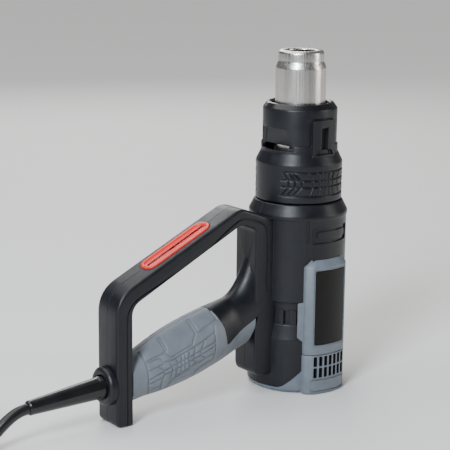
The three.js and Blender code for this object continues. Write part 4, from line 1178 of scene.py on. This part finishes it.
def buildShroud():
    body = turned("heatShroud", [
        (25.4, 150), (27.8, 150), (27.8, 212.3), (27.65, 213.0), (27.3, 213.5), (25.2, 216.2), (24.8, 216.7),
        (24.2, 216.95), (23.5, 217), (22.2, 216.9), (21.6, 216.5), (21.3, 215.8), (21.2, 214.6),
        (25.4, 211.5),
    ], 200)
    cutters = [block(-far, far, -14, 14, 183, 188.4)]
    joints = []
    for side in (-1, 1):
        outline = [(scoop["low"], -18.1, 185), (scoop["low"], 18.1, 185), (scoop["high"], 14.2, 199.2),
                   (scoop["high"], -14.2, 199.2)]
        cutters.append(loft("scoop", [
            [(side * x, y, z) for x, y, z in outline], [(side * 40, y, z) for x, y, z in outline],
        ]))
        # the narrow joint round each lug
        for edge in (-1, 1):
            joints.append(block(edge * 10.6, edge * 11.5, side * 20, side * far, 187.0, 204.0))
        joints.append(block(-9.0, 9.0, side * 20, side * far, 206.3, 207.0))
    shallow = [minus(joint, drum("keep", 27.0, 100, 300)) for joint in joints]
    body = minus(body, *cutters, *shallow)
    for side in (-1, 1):
        low, high, inward = side * scoop["low"], side * scoop["high"], -side * scoop["plate"]
        plate = loft("plate", [
            [(low, y, 186.4), (high, y, 200.6), (high + inward, y, 200.6), (low + inward, y, 186.4)]
            for y in (-20, 20)
        ])
        body = plus(body, within(plate, drum("limit", 27.6, 180, 210)))
    for side in (-1, 1):
        slot = block(-2.9, 2.9, side * 20, side * far, 184.0, 199.6)
        body = minus(body, minus(slot, drum("pit", 25.85, 100, 300)))
    return body


heatShroud = finishPiece(buildShroud(), "satinBlack", "black_plastic", "heat_shroud")
darken(heatShroud, "glossBlack", lambda c, n: c.z > 213.4)
# the walls of the shroud's slots get the darkest matte black: painted shade
darken(heatShroud, "deepBlack", lambda c, n: abs(c.x) < 3 and c.xy.length < 27.5 and 183.8 < c.z < 199.8)

nozzle = turned("nozzleTube", [
    (17.8, 136.4), (25.0, 136.4), (25.0, 137.6), (18.8, 137.6), (18.8, 241.6), (18.72, 242.3), (18.5, 243.0),
    (17.7, 245.2), (17.25, 246.1), (17.05, 246.9), (17.0, 247.6), (17.0, 252.4), (16.85, 253.3),
    (16.4, 254.1), (15.7, 254.65), (14.9, 254.92), (14.1, 255.0), (12.0, 254.95), (11.2, 254.75),
    (10.8, 254.3), (10.8, 253.9), (11.6, 253.95), (14.0, 254.0), (15.3, 253.5), (15.95, 252.4),
    (16.0, 246.8), (17.7, 241.6), (17.8, 240.5),
], 200, sharp=50)
finishPiece(nozzle, "stainless", "stainless", "nozzle_tube")
print("nose done")


def buildScrew(name):
    body = turned(name + ".head", [
        (0, -17.7), (0.5, -17.2), (1.35, -16.2), (1.35, -1.8), (2.98, -1.8), (2.98, -0.75), (2.7, -0.3),
        (2.1, -0.02), (0, 0.0),
    ], 40)
    cross = [
        moved(block(-1.7, 1.7, -0.33, 0.33, -1.1, 1), Matrix.Rotation(turn + 0.5, 4, "Z"))
        for turn in (0, math.pi / 2)
    ]
    return standAt(minus(body, *cross), screwPlace(name), -90, "X")


for name in screwNodes:
    finishPiece(buildScrew(name), "zincPlate", "zinc", name)


def buildSlider():
    low, high = 63.1, 76.9
    body = gripBlock(18.6, 21.5, 4.4, low, high)
    body = plus(body, gripBlock(11.6, 19.5, 1.4, 68.6, 71.4))
    middles = [low + 1.5 + k * 1.8 for k in range(7)]
    return minus(body, *[gripBlock(20.9, 23, 5, s - 0.45, s + 0.45) for s in middles])


finishPiece(buildSlider(), "satinBlack", "black_plastic", "switch_slider", body="slider")

keptNodes = {
    "deepBlack": ("cord_clamp", "motor_mount", "air_duct"),
    "cordSheath": ("inner_cord",),
    "micaSheet": ("mica_sleeve", "element_board"),
    "firedCeramic": ("element_support",),
    "resistanceWire": ("heating_coil",),
    "steel": ("thermal_cutout", "motor_shaft"),
    "zincPlate": ("motor_can", "motor_end_bell"),
    "brass": ("motor_bush",),
    "whiteNylon": ("fan_impeller", "switch_body"),
    "circuitBoard": ("rectifier_board",),
    "wireBrown": ("wire_brown",),
    "wireBlue": ("wire_blue",),
}
for finish, names in keptNodes.items():
    for name in names:
        keepNode(name, finish)
print("kept nodes done")


def buildFloor(reach):
    mesh = bpy.data.meshes.new("floor")
    corners = [(-reach, -reach, 0), (reach, -reach, 0), (reach, reach, 0), (-reach, reach, 0)]
    mesh.from_pydata(corners, [], [(0, 1, 2, 3)])
    floor = bpy.data.objects.new("floor", mesh)
    scene.collection.objects.link(floor)
    tree, shader = newMaterial("paleFloor")
    shader.inputs["Base Color"].default_value = rgb(0.80, 0.79, 0.77)
    shader.inputs["Roughness"].default_value = 0.55
    mesh.materials.append(materials["paleFloor"])


def newLight(name, kind, energy):
    data = bpy.data.lights.new(name, kind)
    data.energy = energy
    light = bpy.data.objects.new(name, data)
    scene.collection.objects.link(light)
    return light


def areaLight(name, place, target, size, watts, colour):
    light = newLight(name, "AREA", watts)
    light.data.shape = "RECTANGLE"
    light.data.size, light.data.size_y = size
    light.data.color = colour
    light.location = place
    aim = Vector(target) - Vector(place)
    light.rotation_euler = aim.to_track_quat("-Z", "Y").to_euler()


def buildWorld(skyColour, skyStrength, backdropTone):
    world = bpy.data.worlds.new("studio")
    world.use_nodes = True
    tree = world.node_tree
    sky = tree.nodes["Background"]
    sky.inputs["Color"].default_value = skyColour
    sky.inputs["Strength"].default_value = skyStrength
    # what the camera sees past the floor is as pale as the floor
    backdrop = tree.nodes.new("ShaderNodeBackground")
    backdrop.inputs["Color"].default_value = backdropTone
    rays = tree.nodes.new("ShaderNodeLightPath")
    blend = tree.nodes.new("ShaderNodeMixShader")
    tree.links.new(rays.outputs["Is Camera Ray"], blend.inputs["Fac"])
    tree.links.new(sky.outputs["Background"], blend.inputs[1])
    tree.links.new(backdrop.outputs["Background"], blend.inputs[2])
    tree.links.new(blend.outputs["Shader"], tree.nodes["World Output"].inputs["Surface"])
    scene.world = world


overhead = newLight("overhead", "SUN", 2.1)
overhead.data.angle = math.radians(60)
overhead.rotation_euler = (math.radians(-18), math.radians(-14), 0)
buildFloor(60)
# each row: place, target, size, watts, colour
lights = {
    "windowLeft": ((-1.5, -0.75, 1.15), (-0.03, 0, 0.12), (0.5, 1.0), 46, (0.86, 0.93, 1.0)),
    "rightFill": ((1.2, -1.1, 0.6), (0, 0, 0.12), (0.35, 0.9), 8, (1, 0.95, 0.9)),
    "rearRim": ((0.6, 1.3, 0.9), (0, 0, 0.15), (0.8, 0.8), 9, (1, 1, 1)),
}
for name, row in lights.items():
    areaLight(name, *row)
buildWorld(rgb(0.92, 0.94, 1.0), 0.17, rgb(0.58, 0.58, 0.58))
print("floor and light done")
